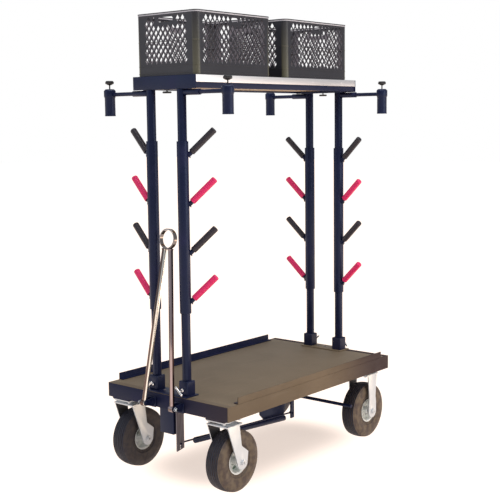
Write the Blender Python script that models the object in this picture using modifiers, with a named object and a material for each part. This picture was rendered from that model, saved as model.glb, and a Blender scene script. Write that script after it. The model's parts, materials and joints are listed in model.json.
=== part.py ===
"""Utility cart: a four-wheeled steel deck cart for cables and accessories.

Two post frames stand in sockets at the ends of the deck and carry a narrow shelf with two
lattice crates. Each post wears a swivelling sleeve with four hanger pegs, and four arms slide
out of the frame heads with open receivers for stands. An A-shaped tow bar folds up in front,
and a lever linkage under the deck presses a brake bar on the rear tyres.

Metres, +Z up, floor at z = 0. The tow bar is at -Y and the width runs along X.
"""

import math

import bmesh
import bpy
from mathutils import Matrix, Vector

# Fits between neighbours
gap = 0.0003
running_gap = 0.0004

# Deck
deck_width = 0.700
deck_length = 1.190
deck_top = 0.388
apron_height = 0.062
sheet = 0.005
end_flange = 0.030
side_ledge = 0.030
panel_thickness = 0.0115
cross_member_width = 0.040
cross_member_height = 0.030
cross_member_sheet = 0.004
front_cross_member_y = -0.200
middle_cross_member_y = 0.010
rail_height = 0.029
rail_thickness = 0.005
rail_flange = 0.020
rail_flange_thickness = 0.0038
rail_setback = 0.064

# Post frames
post_radius = 0.019
post_wall = 0.003
post_x = 0.0875
post_y = 0.5525
post_sides = 16
socket_side = 0.050
socket_height = 0.060
socket_base_thickness = 0.005
socket_base_width = 0.240
socket_base_length = 0.078
clamp_height = 0.023
clamp_screw_radius = 0.004
clamp_collar_radius = 0.0075
clamp_collar_length = 0.007
clamp_reach = 0.0255
clamp_bar_radius = 0.0055
clamp_bar_length = 0.046
clamp_bar_tilt = math.radians(42)
top_plate_thickness = 0.011
top_plate_width = 0.250
top_plate_depth = 0.0315
stub_radius = 0.01225
stub_end_x = 0.190
stub_drop = 0.0135
stop_pin_radius = 0.003
stop_pin_reach = 0.0045

# Hanger sleeves
sleeve_radius = 0.024
sleeve_length = 0.710
front_sleeve_bottom = 0.739
rear_sleeve_bottom = 0.682
peg_count = 4
peg_from_top = 0.0595
peg_from_bottom = 0.046
peg_pitch = (sleeve_length - peg_from_top - peg_from_bottom) / (peg_count - 1)
peg_angle = math.radians(44)
peg_stub_radius = 0.0095
peg_stub_length = 0.018
grip_radius = 0.0140
grip_length = 0.133
sleeve_turns = {
    "front_right": math.radians(40),
    "front_left": math.radians(172),
    "rear_left": math.radians(185),
    "rear_right": math.radians(-5),
}

# Shelf
shelf_width = 0.355
shelf_length = 1.134
shelf_bottom = 1.660
shelf_height = 0.0555
end_plate = 0.005
side_rail_web = 0.004
side_rail_flange = 0.022
side_rail_flange_thickness = 0.004
strip_thickness = 0.004
strip_height = 0.0295
plywood_thickness = 0.012
plywood_lift = 0.010

# Arms and receivers
arm_radius = 0.0085
arm_inner_x = 0.110
receiver_x = 0.336
receiver_radius = 0.0225
receiver_bore = 0.0185
receiver_bottom = 1.555
head_radius = 0.0255
head_height = 0.038
knob_radius = 0.0185
knob_height = 0.018
knob_stem_radius = 0.0028
knob_stem_length = 0.017
shelf_knob_stem_length = 0.006
shelf_knob_height = 0.008
shelf_knob_y = 0.546

# Crates
crate_side_clearance = 0.0105
crate_width = shelf_width - 2 * crate_side_clearance
crate_length = 0.469
crate_height = 0.290
crate_wall = 0.004
crate_floor = 0.005
crate_corner = 0.022
crate_rim_height = 0.016
crate_rim_out = 0.0045
crate_wall_inset = 0.003
crate_band_inset = 0.0015
crate_band_ease = 0.008
crate_band_top = 0.066
front_crate_y = -0.311
rear_crate_y = 0.267
lattice_rows = 4
lattice_row_pitch = 0.0420
lattice_margin = 0.030
lattice_bar = 0.0070
lattice_long_columns = 6
lattice_short_columns = 4
handle_length = 0.050
handle_height = 0.020
handle_drop = 0.029
floor_slot_length = 0.110
floor_slot_width = 0.034
floor_slot_pitch = 0.060
floor_slots_apart = 0.024

# Tow bar
hinge_y = -0.640
hinge_z = 0.349
tow_foot_x = 0.082
tow_leg_radius = 0.008
tow_eye_radius = 0.014
tow_eye_width = 0.022
tow_lean = math.radians(6.8)
tow_ring_height = 0.700
tow_ring_radius = 0.043
tow_ring_wall = 0.005
tow_ring_depth = 0.020
tow_top_x = 0.017
hinge_pin_radius = 0.005
hinge_ear = 0.004
hinge_ear_radius = 0.011
hinge_nut_radius = 0.0085
hinge_nut_length = 0.009
hinge_base_width = 0.056
hinge_base_height = 0.050
hinge_base_thickness = 0.004
hinge_pin_reach = 0.030

# Brake linkage
lever_x = 0.055
lever_thickness = 0.006
front_lever_y = -0.566
front_lever_z = 0.345
front_lever_width = 0.043
front_lever_bottom = 0.148
lever_throw = 0.167
lever_pivot_radius = 0.006
lever_shoulder_radius = 0.010
lever_hole_pitch = 0.0100
rear_lever_y = 0.2095
rear_lever_z = 0.304
rear_lever_width = 0.025
rear_lever_bottom = 0.113
rod_x = 0.0465
rod_radius = 0.004
shaft_radius = 0.008
shaft_left_x = -0.086
shaft_ear_x = (-0.076, 0.000)
shaft_ear_width = 0.040
shaft_ear_radius = 0.016
shaft_ear_thickness = 0.006
brake_bar_y = 0.345
brake_bar_z = 0.181
brake_bar_radius = 0.008
brake_bar_past_tyre = 0.0295
brake_arm_x = -0.038
brake_arm_thickness = 0.008
brake_arm_root_radius = 0.014
brake_arm_tip_radius = 0.012
block_width = 0.080
block_depth = 0.034
block_bottom = 0.218
block_wall = 0.004
guide_x = 0.030
guide_radius = 0.0134
guide_front = (-0.449, 0.159)
guide_rear = (0.178, 0.115)
gusset_thickness = 0.006
gusset_front_y = -0.006
gusset_rear_y = 0.203

# Casters
caster_inset = 0.0745
caster_x = deck_width / 2 - caster_inset
tyre_radius = 0.132
tyre_width = 0.079
rim_radius = 0.0512
rim_width = 0.066
rim_flange = 0.0050
hub_radius = 0.016
hub_width = 0.076
axle_radius = 0.0078
axle_nut_radius = 0.0115
axle_nut_length = 0.008
fork_gap = 0.0535
fork_sheet = 0.005
front_swivel_y = -0.5325
front_trail = 0.044
rear_axle_y = 0.483
pad_thickness = 0.0065
caster_plate_thickness = 0.006
caster_plate_width = 0.100
caster_plate_length = 0.116
race_radius = 0.034
race_height = 0.013
crown_thickness = 0.007
crown_half_length = 0.048
crown_inset = 0.0006
kingpin_radius = 0.007
kingpin_nut_radius = 0.012
fork_foot_radius = 0.031
fork_shoulder_rise = 0.040
fork_neck_half = 0.026
fork_neck_rise = 0.072
fork_neck_lead = 0.019
fork_top_half = 0.036
fork_top_lead = 0.009

# Derived levels
deck_bottom = deck_top - apron_height
panel_bottom = deck_top - panel_thickness
ledge_bottom = panel_bottom - gap - sheet
member_bottom = panel_bottom - gap - cross_member_height
socket_base_bottom = deck_top + gap
socket_bottom = socket_base_bottom + socket_base_thickness
post_bottom = socket_bottom + gap
post_top = shelf_bottom - gap
stub_z = shelf_bottom - stub_drop
plywood_bottom = shelf_bottom + plywood_lift
plywood_top = plywood_bottom + plywood_thickness
top_plate_top = plywood_bottom - gap
top_plate_bottom = top_plate_top - top_plate_thickness
crate_bottom = plywood_top + gap
pad_bottom = deck_bottom - pad_thickness
plate_top = pad_bottom - gap
plate_bottom = plate_top - caster_plate_thickness
crown_top = plate_bottom - race_height - gap
rod_front = (front_lever_y, front_lever_z - lever_throw)
rod_rear = (rear_lever_y, rear_lever_z - lever_throw)
front_reach = -hinge_y + tow_eye_radius
rear_reach = max(post_y + socket_side / 2 + clamp_reach + clamp_bar_radius, rear_axle_y + tyre_radius)
shift_y = (front_reach - rear_reach) / 2


def clear_scene():
    for thing in list(bpy.data.objects):
        bpy.data.objects.remove(thing, do_unlink=True)


clear_scene()
parts = bpy.data.collections.new("utility_cart")
cutters = bpy.data.collections.new("cutters")
bpy.context.scene.collection.children.link(parts)
bpy.context.scene.collection.children.link(cutters)

root = bpy.data.objects.new("cart_origin", None)
root.location = (0.0, shift_y, 0.0)
parts.objects.link(root)


def material(name, colour, roughness, metallic):
    m = bpy.data.materials.new(name)
    m.use_nodes = True
    shader = m.node_tree.nodes["Principled BSDF"]
    shader.inputs["Base Color"].default_value = (*colour, 1.0)
    shader.inputs["Roughness"].default_value = roughness
    shader.inputs["Metallic"].default_value = metallic
    m.diffuse_color = (*colour, 1.0)
    return m


black_paint = material("black_paint", (0.018, 0.019, 0.028), 0.42, 0.0)
deck_paint = material("deck_paint", (0.150, 0.125, 0.095), 0.60, 0.0)
bright_zinc = material("bright_zinc", (0.780, 0.800, 0.800), 0.28, 1.0)
chrome = material("chrome", (0.820, 0.800, 0.780), 0.10, 1.0)
rubber = material("tyre_rubber", (0.022, 0.022, 0.024), 0.75, 0.0)
rim_paint = material("rim_paint", (0.700, 0.730, 0.720), 0.35, 0.6)
red_vinyl = material("red_vinyl", (0.620, 0.020, 0.080), 0.45, 0.0)
black_vinyl = material("black_vinyl", (0.025, 0.022, 0.030), 0.55, 0.0)
knob_plastic = material("knob_plastic", (0.020, 0.020, 0.022), 0.50, 0.0)
crate_plastic = material("crate_plastic", (0.045, 0.048, 0.045), 0.50, 0.0)
plywood = material("plywood", (0.480, 0.330, 0.190), 0.65, 0.0)
aluminium = material("aluminium", (0.800, 0.800, 0.820), 0.30, 1.0)


def make_object(name, mesh, collection):
    thing = bpy.data.objects.new(name, mesh)
    collection.objects.link(thing)
    return thing


def mesh_from(bm, name):
    mesh = bpy.data.meshes.new(name)
    bm.to_mesh(mesh)
    bm.free()
    return mesh


def shape(name, mesh, at=(0.0, 0.0, 0.0)):
    """A working solid, kept with the cutters until it is finished as a part."""
    thing = make_object(name, mesh, cutters)
    thing.location = at
    thing.hide_render = True
    thing.display_type = "WIRE"
    return thing


def span_box(name, x, y, z, bevel=0.0):
    """A box between the two ends given for each axis."""
    bm = bmesh.new()
    bmesh.ops.create_cube(bm, size=1.0)
    size = Vector((x[1] - x[0], y[1] - y[0], z[1] - z[0]))
    middle = Vector((x[0] + x[1], y[0] + y[1], z[0] + z[1])) / 2
    placing = Matrix.Translation(middle) @ Matrix.Diagonal((*size, 1.0))
    bmesh.ops.transform(bm, matrix=placing, verts=bm.verts)
    thing = shape(name, mesh_from(bm, name))
    if bevel:
        edge = thing.modifiers.new("edge", "BEVEL")
        edge.width = bevel
        edge.segments = 1
        edge.limit_method = "ANGLE"
    return thing


def rod_between(name, start, end, radius, sides=16, tip_radius=None):
    """A round bar, or a cone where the tip has another radius."""
    start, end = Vector(start), Vector(end)
    axis = end - start
    bm = bmesh.new()
    bmesh.ops.create_cone(
        bm,
        cap_ends=True,
        segments=sides,
        radius1=radius,
        radius2=radius if tip_radius is None else tip_radius,
        depth=axis.length,
    )
    turn = Vector((0, 0, 1)).rotation_difference(axis).to_matrix().to_4x4()
    bmesh.ops.transform(bm, matrix=Matrix.Translation((start + end) / 2) @ turn, verts=bm.verts)
    return shape(name, mesh_from(bm, name))


def flat_outline(name, points, thickness, plane="YZ", level=0.0):
    """A flat plate with the given outline, centred on its level across the plane."""
    curve = bpy.data.curves.new(name, "CURVE")
    curve.dimensions = "2D"
    curve.fill_mode = "BOTH"
    curve.extrude = thickness / 2
    line = curve.splines.new("POLY")
    line.points.add(len(points) - 1)
    for knot, (a, b) in zip(line.points, points):
        knot.co = (a, b, 0.0, 1.0)
    line.use_cyclic_u = True
    drawn = make_object(name, curve, cutters)
    bpy.context.view_layer.update()
    graph = bpy.context.evaluated_depsgraph_get()
    mesh = bpy.data.meshes.new_from_object(drawn.evaluated_get(graph))
    bpy.data.objects.remove(drawn, do_unlink=True)
    bm = bmesh.new()
    bm.from_mesh(mesh)
    bmesh.ops.remove_doubles(bm, verts=bm.verts, dist=1e-6)
    if plane == "YZ":
        turn = Matrix.Rotation(math.pi / 2, 4, "Z") @ Matrix.Rotation(math.pi / 2, 4, "X")
        bmesh.ops.transform(bm, matrix=Matrix.Translation((level, 0, 0)) @ turn, verts=bm.verts)
    else:
        bmesh.ops.transform(bm, matrix=Matrix.Translation((0, 0, level)), verts=bm.verts)
    bmesh.ops.recalc_face_normals(bm, faces=bm.faces)
    bm.to_mesh(mesh)
    bm.free()
    return shape(name, mesh)


def arc(centre, radius, start, end, steps):
    """Points of an arc, with both ends, angles in degrees."""
    points = []
    for i in range(steps + 1):
        a = math.radians(start + (end - start) * i / steps)
        points.append((centre[0] + radius * math.cos(a), centre[1] + radius * math.sin(a)))
    return points


def turned(name, profile, sides, axis="Z", closed=True):
    """A ring or knob from a profile of (radius, height) points that runs down its outer side."""
    mesh = bpy.data.meshes.new(name)
    edges = [(i, i + 1) for i in range(len(profile) - 1)]
    if closed:
        edges.append((len(profile) - 1, 0))
    mesh.from_pydata([(r, 0.0, h) for r, h in profile], edges, [])
    thing = shape(name, mesh)
    screw = thing.modifiers.new("turn", "SCREW")
    screw.axis = "Z"
    screw.angle = 2 * math.pi
    screw.steps = sides
    screw.render_steps = sides
    screw.use_merge_vertices = True
    screw.merge_threshold = 1e-5
    screw.use_smooth_shade = False
    if axis == "X":
        bake(thing)
        thing.data.transform(Matrix.Rotation(math.pi / 2, 4, "Y"))
    return thing


def bake(thing):
    """Replaces a shape's mesh by what its modifiers make of it."""
    bpy.context.view_layer.update()
    graph = bpy.context.evaluated_depsgraph_get()
    mesh = bpy.data.meshes.new_from_object(thing.evaluated_get(graph))
    tools = [m.object for m in thing.modifiers if m.type == "BOOLEAN"]
    thing.modifiers.clear()
    thing.data = mesh
    for tool in tools:
        bpy.data.objects.remove(tool, do_unlink=True)
    return thing


def add_boolean(base, others, operation, transfer=False):
    for other in others:
        step = base.modifiers.new(operation.lower(), "BOOLEAN")
        step.operation = operation
        step.solver = "EXACT"
        if transfer:
            step.material_mode = "TRANSFER"
        step.object = other
        other.parent = base.parent
    return base


def fuse(base, *others):
    return add_boolean(base, others, "UNION")


def cut(base, *others):
    return add_boolean(base, others, "DIFFERENCE")


def move(thing, offset):
    thing.data.transform(Matrix.Translation(offset))
    return thing


def smooth(mesh):
    mesh.shade_smooth()
    mesh.set_sharp_from_angle(angle=math.radians(35))


def part(name, thing, look, origin=(0.0, 0.0, 0.0), turn=0.0):
    """Finishes a shape as a named part with its origin where it seats or turns."""
    bake(thing)
    mesh = thing.data
    bpy.data.objects.remove(thing, do_unlink=True)
    mesh.name = name
    mesh.transform(Matrix.Translation(-Vector(origin)))
    smooth(mesh)
    return place(name, mesh, look, origin, turn)


def place(name, mesh, look, origin, turn=0.0):
    finished = make_object(name, mesh, parts)
    finished.location = origin
    finished.rotation_euler = (0.0, 0.0, turn)
    finished.parent = root
    if look is not None and not mesh.materials:
        mesh.materials.append(look)
    return finished


def hole_radius(radius, clearance, sides):
    """Radius of a many-sided bore whose flats clear a bar of the given radius."""
    return (radius + clearance) / math.cos(math.pi / sides)


def both_ends(value):
    return (-value, value)


# Deck frame: edge sheets with end flanges, side ledges, cross members and caster pads
half_w = deck_width / 2
half_l = deck_length / 2
frame = span_box("deck_frame_stock", both_ends(half_w), both_ends(half_l), (deck_bottom, deck_top))
cut(
    frame,
    span_box(
        "deck_hollow",
        both_ends(half_w - sheet),
        both_ends(half_l - sheet),
        (deck_bottom - 0.02, ledge_bottom),
    ),
    span_box(
        "panel_pocket",
        both_ends(half_w - sheet),
        both_ends(half_l - end_flange),
        (panel_bottom - gap, deck_top + 0.02),
    ),
    span_box(
        "deck_opening",
        both_ends(half_w - sheet - side_ledge),
        both_ends(half_l - end_flange - side_ledge),
        (deck_bottom, deck_top),
    ),
)
for side in (-1, 1):
    ends = sorted((side * (half_l - sheet), side * (half_l - end_flange + sheet)))
    cut(
        frame,
        span_box("end_channel", both_ends(half_w - sheet), ends, (ledge_bottom - 0.01, deck_top - sheet)),
    )
for y in (front_cross_member_y, middle_cross_member_y, rear_lever_y):
    member_top = panel_bottom - 2 * gap
    member = span_box(
        "cross_member",
        both_ends(half_w - sheet / 2),
        (y - cross_member_width / 2, y + cross_member_width / 2),
        (member_bottom, member_top),
    )
    hollow_half = cross_member_width / 2 - cross_member_sheet
    cut(
        member,
        span_box(
            "member_hollow",
            both_ends(half_w - sheet - cross_member_sheet),
            (y - hollow_half, y + hollow_half),
            (member_bottom - 0.01, member_top - cross_member_sheet),
        ),
    )
    bake(member)
    fuse(frame, member)
front_pad_y = (-half_l + 0.001, front_swivel_y + caster_plate_length / 2)
rear_pad_y = (rear_axle_y - caster_plate_length / 2, half_l - 0.001)
pad_inner = caster_x - caster_plate_width / 2
pad_outer = caster_x + caster_plate_width / 2
for pad_y in (front_pad_y, rear_pad_y):
    for side in (-1, 1):
        pad_x = sorted((side * pad_inner, side * pad_outer))
        corner_x = sorted((side * (pad_inner + 0.002), side * (half_w - sheet / 2)))
        corner_y = (pad_y[0] + 0.002, pad_y[1] - 0.001)
        fuse(
            frame,
            span_box("caster_pad", pad_x, pad_y, (pad_bottom, deck_bottom + 0.003)),
            span_box("corner_plate", corner_x, corner_y, (deck_bottom + 0.001, deck_bottom + 0.001 + sheet)),
        )
for x in shaft_ear_x:
    ear = flat_outline(
        "shaft_ear",
        [(rear_lever_y + shaft_ear_width / 2, member_bottom + 0.006)]
        + [(rear_lever_y - shaft_ear_width / 2, member_bottom + 0.006)]
        + arc((rear_lever_y, rear_lever_z), shaft_ear_radius, 180, 360, 6),
        shaft_ear_thickness,
        "YZ",
        x,
    )
    fuse(frame, ear)
    bore = hole_radius(shaft_radius, running_gap, 12)
    cut(
        frame,
        rod_between(
            "shaft_bore",
            (x - shaft_ear_thickness, rear_lever_y, rear_lever_z),
            (x + shaft_ear_thickness, rear_lever_y, rear_lever_z),
            bore,
            12,
        ),
    )
part("deck_frame", frame, black_paint)

panel = span_box(
    "panel_stock",
    both_ends(half_w - sheet - gap),
    both_ends(half_l - end_flange - gap),
    (panel_bottom, deck_top),
)
part("deck_panel", panel, deck_paint)

# Raised side rails along both long edges
for name, side in (("left_rail", -1), ("right_rail", 1)):
    web_x = sorted((side * (half_w - rail_thickness), side * half_w))
    flange_x = sorted((side * (half_w - rail_thickness - rail_flange), side * (half_w - 0.001)))
    run = both_ends(half_l - rail_setback)
    flange_run = both_ends(half_l - rail_setback - 0.001)
    foot = deck_top + gap
    rail = span_box("rail_web", web_x, run, (foot, foot + rail_height), 0.001)
    bake(rail)
    flange_z = (foot + 0.0002, foot + 0.0002 + rail_flange_thickness)
    fuse(rail, span_box("rail_flange", flange_x, flange_run, flange_z))
    part(name, rail, black_paint)

# Socket bars: a base strip with two square sockets at each end of the deck
post_bore = hole_radius(post_radius, gap, post_sides)
socket_top = socket_bottom + socket_height
clamp_z = socket_bottom + clamp_height
for name, end in (("front_socket_bar", -1), ("rear_socket_bar", 1)):
    y_out = end * (half_l - 0.0005)
    y_in = end * (half_l - 0.0005 - socket_base_length)
    base_y = sorted((y_out, y_in))
    base_z = (socket_base_bottom, socket_bottom)
    bar = span_box("socket_base", both_ends(socket_base_width / 2), base_y, base_z)
    for side in (-1, 1):
        x = side * post_x
        y = end * post_y
        fuse(
            bar,
            span_box(
                "socket",
                (x - socket_side / 2, x + socket_side / 2),
                (y - socket_side / 2, y + socket_side / 2),
                (socket_bottom - 0.002, socket_top),
                0.003,
            ),
        )
        above = socket_top + 0.01
        cut(
            bar,
            rod_between("socket_bore", (x, y, socket_bottom), (x, y, above), post_bore, post_sides),
            rod_between(
                "clamp_hole",
                (x, y, clamp_z),
                (x, y + end * socket_side, clamp_z),
                hole_radius(clamp_screw_radius, running_gap, 8),
                8,
            ),
        )
    part(name, bar, black_paint)

# Clamp screws with tommy bars, one in each socket
for name, side, end in (
    ("front_left_clamp", -1, -1),
    ("front_right_clamp", 1, -1),
    ("rear_left_clamp", -1, 1),
    ("rear_right_clamp", 1, 1),
):
    x = side * post_x
    face = end * (post_y + socket_side / 2)
    bar_y = face + end * clamp_reach
    tip_y = end * (post_y + post_radius + gap)
    screw = rod_between("clamp_screw", (x, tip_y, clamp_z), (x, bar_y, clamp_z), clamp_screw_radius, 8)
    collar = rod_between(
        "clamp_collar",
        (x, face + end * gap, clamp_z),
        (x, face + end * (gap + clamp_collar_length), clamp_z),
        clamp_collar_radius,
        8,
    )
    tilt = clamp_bar_tilt if side > 0 else math.pi - clamp_bar_tilt
    half = Vector((-math.cos(tilt), 0.0, math.sin(tilt))) * clamp_bar_length / 2
    middle = Vector((x, bar_y, clamp_z))
    tommy = rod_between("clamp_bar", middle - half, middle + half, clamp_bar_radius, 8)
    fuse(screw, collar, tommy)
    part(name, screw, chrome, (x, face, clamp_z))

# Post frames: two tubes joined by a top plate, with stub tubes for the arms and sleeve stops
for name, end, sleeve_bottom in (
    ("front_post_frame", -1, front_sleeve_bottom),
    ("rear_post_frame", 1, rear_sleeve_bottom),
):
    y = end * post_y
    plate_out = end * (shelf_length / 2 - end_plate - gap)
    plate_in = plate_out - end * top_plate_depth
    plate_y = sorted((plate_out, plate_in))
    frame = span_box("top_plate", both_ends(top_plate_width / 2), plate_y, (top_plate_bottom, top_plate_top))
    for side in (-1, 1):
        x = side * post_x
        fuse(frame, rod_between("post", (x, y, post_bottom), (x, y, post_top), post_radius, post_sides))
        fuse(frame, rod_between("stub", (x, y, stub_z), (side * stub_end_x, y, stub_z), stub_radius, 12))
        pin_z = sleeve_bottom - gap - stop_pin_radius
        pin_out = post_radius + stop_pin_reach
        pin_ends = ((x, y - pin_out, pin_z), (x, y + pin_out, pin_z))
        fuse(frame, rod_between("stop_pin", *pin_ends, stop_pin_radius, 6))
    for side in (-1, 1):
        x = side * post_x
        post_ends = ((x, y, post_bottom - 0.01), (x, y, top_plate_bottom - post_wall))
        stub_ends = ((x, y, stub_z), (side * (stub_end_x + 0.01), y, stub_z))
        cut(
            frame,
            rod_between("post_bore", *post_ends, post_radius - post_wall, post_sides),
            rod_between("arm_bore", *stub_ends, hole_radius(arm_radius, gap, 12), 12),
        )
    part(name, frame, black_paint)

# Hanger sleeves: one mesh for all four, each turned on its own post
sleeve = rod_between("sleeve_stock", (0, 0, 0), (0, 0, sleeve_length), sleeve_radius, post_sides)
sleeve.data.materials.append(black_paint)
peg_way = Vector((math.cos(peg_angle), 0.0, math.sin(peg_angle)))
for i in range(peg_count):
    foot = Vector((sleeve_radius - 0.003, 0.0, sleeve_length - peg_from_top - i * peg_pitch))
    neck = foot + peg_way * (peg_stub_length + 0.003)
    stub = rod_between("peg_stub", foot, neck + peg_way * 0.004, peg_stub_radius, 8)
    stub.data.materials.append(black_paint)
    grip = rod_between("peg_grip", neck, neck + peg_way * grip_length, grip_radius, 10)
    grip.data.materials.append(red_vinyl if i % 2 else black_vinyl)
    add_boolean(sleeve, (stub, grip), "UNION", transfer=True)
sleeve_bore = hole_radius(post_radius, running_gap, post_sides)
cut(sleeve, rod_between("sleeve_bore", (0, 0, -0.01), (0, 0, sleeve_length + 0.01), sleeve_bore, post_sides))
bake(sleeve)
smooth(sleeve.data)
sleeve_mesh = sleeve.data
sleeve_mesh.name = "hanger_sleeve"
bpy.data.objects.remove(sleeve, do_unlink=True)
for name, turn in sleeve_turns.items():
    x = post_x if "right" in name else -post_x
    y = post_y if "rear" in name else -post_y
    z = rear_sleeve_bottom if "rear" in name else front_sleeve_bottom
    place(name + "_sleeve", sleeve_mesh, None, (x, y, z), turn)

# Shelf: end plates and side rails in one frame, bright side strips and a plywood floor
shelf_top = shelf_bottom + shelf_height
shelf_half_w = shelf_width / 2
shelf_half_l = shelf_length / 2
rail_out = shelf_half_w - strip_thickness - gap
web_run = both_ends(shelf_half_l - 0.001)
web_z = (shelf_bottom + 0.002, shelf_top - 0.001)
flange_run = both_ends(shelf_half_l - 0.002)
flange_z = (plywood_bottom - gap - side_rail_flange_thickness, plywood_bottom - gap)
shelf = span_box("side_rail_a", (rail_out - side_rail_web, rail_out), web_run, web_z)
fuse(shelf, span_box("side_rail_b", (-rail_out, -rail_out + side_rail_web), web_run, web_z))
for side in (-1, 1):
    flange_x = sorted((side * (rail_out - 0.001), side * (rail_out - side_rail_flange)))
    fuse(shelf, span_box("rail_flange", flange_x, flange_run, flange_z))
for end in (-1, 1):
    faces = sorted((end * shelf_half_l, end * (shelf_half_l - end_plate)))
    fuse(shelf, span_box("end_plate", both_ends(shelf_half_w), faces, (shelf_bottom, shelf_top), 0.001))
part("shelf_frame", shelf, black_paint)

for name, side in (("left_shelf_strip", -1), ("right_shelf_strip", 1)):
    strip_x = sorted((side * (shelf_half_w - strip_thickness), side * shelf_half_w))
    strip_run = both_ends(shelf_half_l - end_plate - gap)
    strip = span_box("strip_stock", strip_x, strip_run, (shelf_top - strip_height, shelf_top), 0.0008)
    part(name, strip, aluminium)

floor = span_box(
    "plywood_stock",
    both_ends(rail_out - side_rail_web - gap),
    both_ends(shelf_half_l - end_plate - gap),
    (plywood_bottom, plywood_top),
)
part("shelf_floor", floor, plywood)

# Round knobs: on the receivers and under the top plates
knob_profile = [
    (0.0, knob_stem_length + knob_height),
    (knob_radius * 0.85, knob_stem_length + knob_height),
    (knob_radius, knob_stem_length + knob_height * 0.65),
    (knob_radius * 0.38, knob_stem_length),
    (knob_stem_radius, knob_stem_length),
    (knob_stem_radius, 0.0),
    (0.0, 0.0),
]
knob = turned("receiver_knob_stock", knob_profile, 12, closed=False)
bake(knob)
smooth(knob.data)
knob_mesh = knob.data
knob_mesh.name = "receiver_knob"
bpy.data.objects.remove(knob, do_unlink=True)

shelf_knob_profile = [
    (0.0, 0.0),
    (knob_stem_radius, 0.0),
    (knob_stem_radius, -shelf_knob_stem_length),
    (knob_radius, -shelf_knob_stem_length),
    (knob_radius, -shelf_knob_stem_length - shelf_knob_height),
    (0.0, -shelf_knob_stem_length - shelf_knob_height),
]
shelf_knob = turned("shelf_knob_stock", shelf_knob_profile, 12, closed=False)
bake(shelf_knob)
smooth(shelf_knob.data)
shelf_knob_mesh = shelf_knob.data
shelf_knob_mesh.name = "shelf_knob"
bpy.data.objects.remove(shelf_knob, do_unlink=True)
place("front_shelf_knob", shelf_knob_mesh, knob_plastic, (0.0, -shelf_knob_y, top_plate_bottom - gap))
place("rear_shelf_knob", shelf_knob_mesh, knob_plastic, (0.0, shelf_knob_y, top_plate_bottom - gap))

# Sliding arms with hanging receivers
head_top = stub_z + head_height * 0.62
head_bottom = head_top - head_height
for name, side, end in (
    ("front_left", -1, -1),
    ("front_right", 1, -1),
    ("rear_left", -1, 1),
    ("rear_right", 1, 1),
):
    x = side * receiver_x
    y = end * post_y
    arm = rod_between("arm_stock", (side * arm_inner_x, y, stub_z), (x, y, stub_z), arm_radius, 12)
    part(name + "_arm", arm, black_paint, (side * stub_end_x, y, stub_z))
    tube_ends = ((x, y, receiver_bottom), (x, y, head_bottom + 0.004))
    receiver = rod_between("receiver_tube", *tube_ends, receiver_radius, 14)
    head = turned(
        "receiver_head",
        [
            (0.0, head_top),
            (head_radius * 0.72, head_top),
            (head_radius, head_top - 0.007),
            (head_radius, head_bottom + 0.006),
            (receiver_radius - 0.001, head_bottom),
            (0.0, head_bottom),
        ],
        14,
        closed=False,
    )
    bake(head)
    move(head, (x, y, 0.0))
    fuse(receiver, head)
    bore_ends = ((x, y, receiver_bottom - 0.01), (x, y, head_bottom + 0.001))
    seat_ends = ((x + side * gap, y, stub_z), (x - side * 2 * head_radius, y, stub_z))
    cut(
        receiver,
        rod_between("receiver_bore", *bore_ends, receiver_bore, 14),
        rod_between("arm_seat", *seat_ends, hole_radius(arm_radius, gap, 12), 12),
    )
    part(name + "_receiver", receiver, black_paint, (x, y, stub_z))
    place(name + "_knob", knob_mesh, knob_plastic, (x, y, head_top + gap))

# Crates: an open box of diamond lattice walls between rounded corner columns
def rounded_box(name, width, length, z, corner):
    thing = span_box(name, both_ends(width / 2), both_ends(length / 2), z)
    bm = bmesh.new()
    bm.from_mesh(thing.data)
    upright = [e for e in bm.edges if abs(e.verts[0].co.z - e.verts[1].co.z) > 1e-6]
    bmesh.ops.bevel(bm, geom=upright, offset=corner, segments=3, profile=0.5, affect="EDGES")
    bm.to_mesh(thing.data)
    bm.free()
    return thing


def lattice_cutter(name, columns, wall, along, reach):
    """Diamond prisms in staggered rows, running straight through two facing walls."""
    column_pitch = (wall - 2 * lattice_margin) / columns
    half_wide = (column_pitch - lattice_bar * 1.32) / 2
    half_high = lattice_row_pitch - lattice_bar * 0.66
    first = crate_band_top + half_high
    handle_floor = crate_height - handle_drop - handle_height / 2 - lattice_bar
    spin = Matrix.Rotation(math.pi / 2, 4, "Y" if along == "X" else "X")
    bm = bmesh.new()
    for row in range(lattice_rows):
        count = columns - row % 2
        for column in range(count):
            across = (column - (count - 1) / 2) * column_pitch
            height = first + row * lattice_row_pitch
            near_handle = abs(across) < handle_length / 2 + half_wide
            if near_handle and height + half_high > handle_floor:
                continue
            spot = (0.0, across, height) if along == "X" else (across, 0.0, height)
            squash = Matrix.Diagonal((1.0, half_wide, half_high, 1.0))
            if along == "Y":
                squash = Matrix.Diagonal((half_wide, 1.0, half_high, 1.0))
            bmesh.ops.create_cone(
                bm,
                cap_ends=True,
                segments=4,
                radius1=1.0,
                radius2=1.0,
                depth=reach,
                matrix=Matrix.Translation(spot) @ squash @ spin,
            )
    return shape(name, mesh_from(bm, name))


def handle_cutter(name, along, reach):
    half_long = handle_length / 2 - handle_height / 2
    z = crate_height - handle_drop
    outline = arc((half_long, z), handle_height / 2, -90, 90, 5)
    outline += arc((-half_long, z), handle_height / 2, 90, 270, 5)
    thing = flat_outline(name, outline, reach)
    if along == "Y":
        thing.data.transform(Matrix.Rotation(math.pi / 2, 4, "Z"))
    return thing


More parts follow.
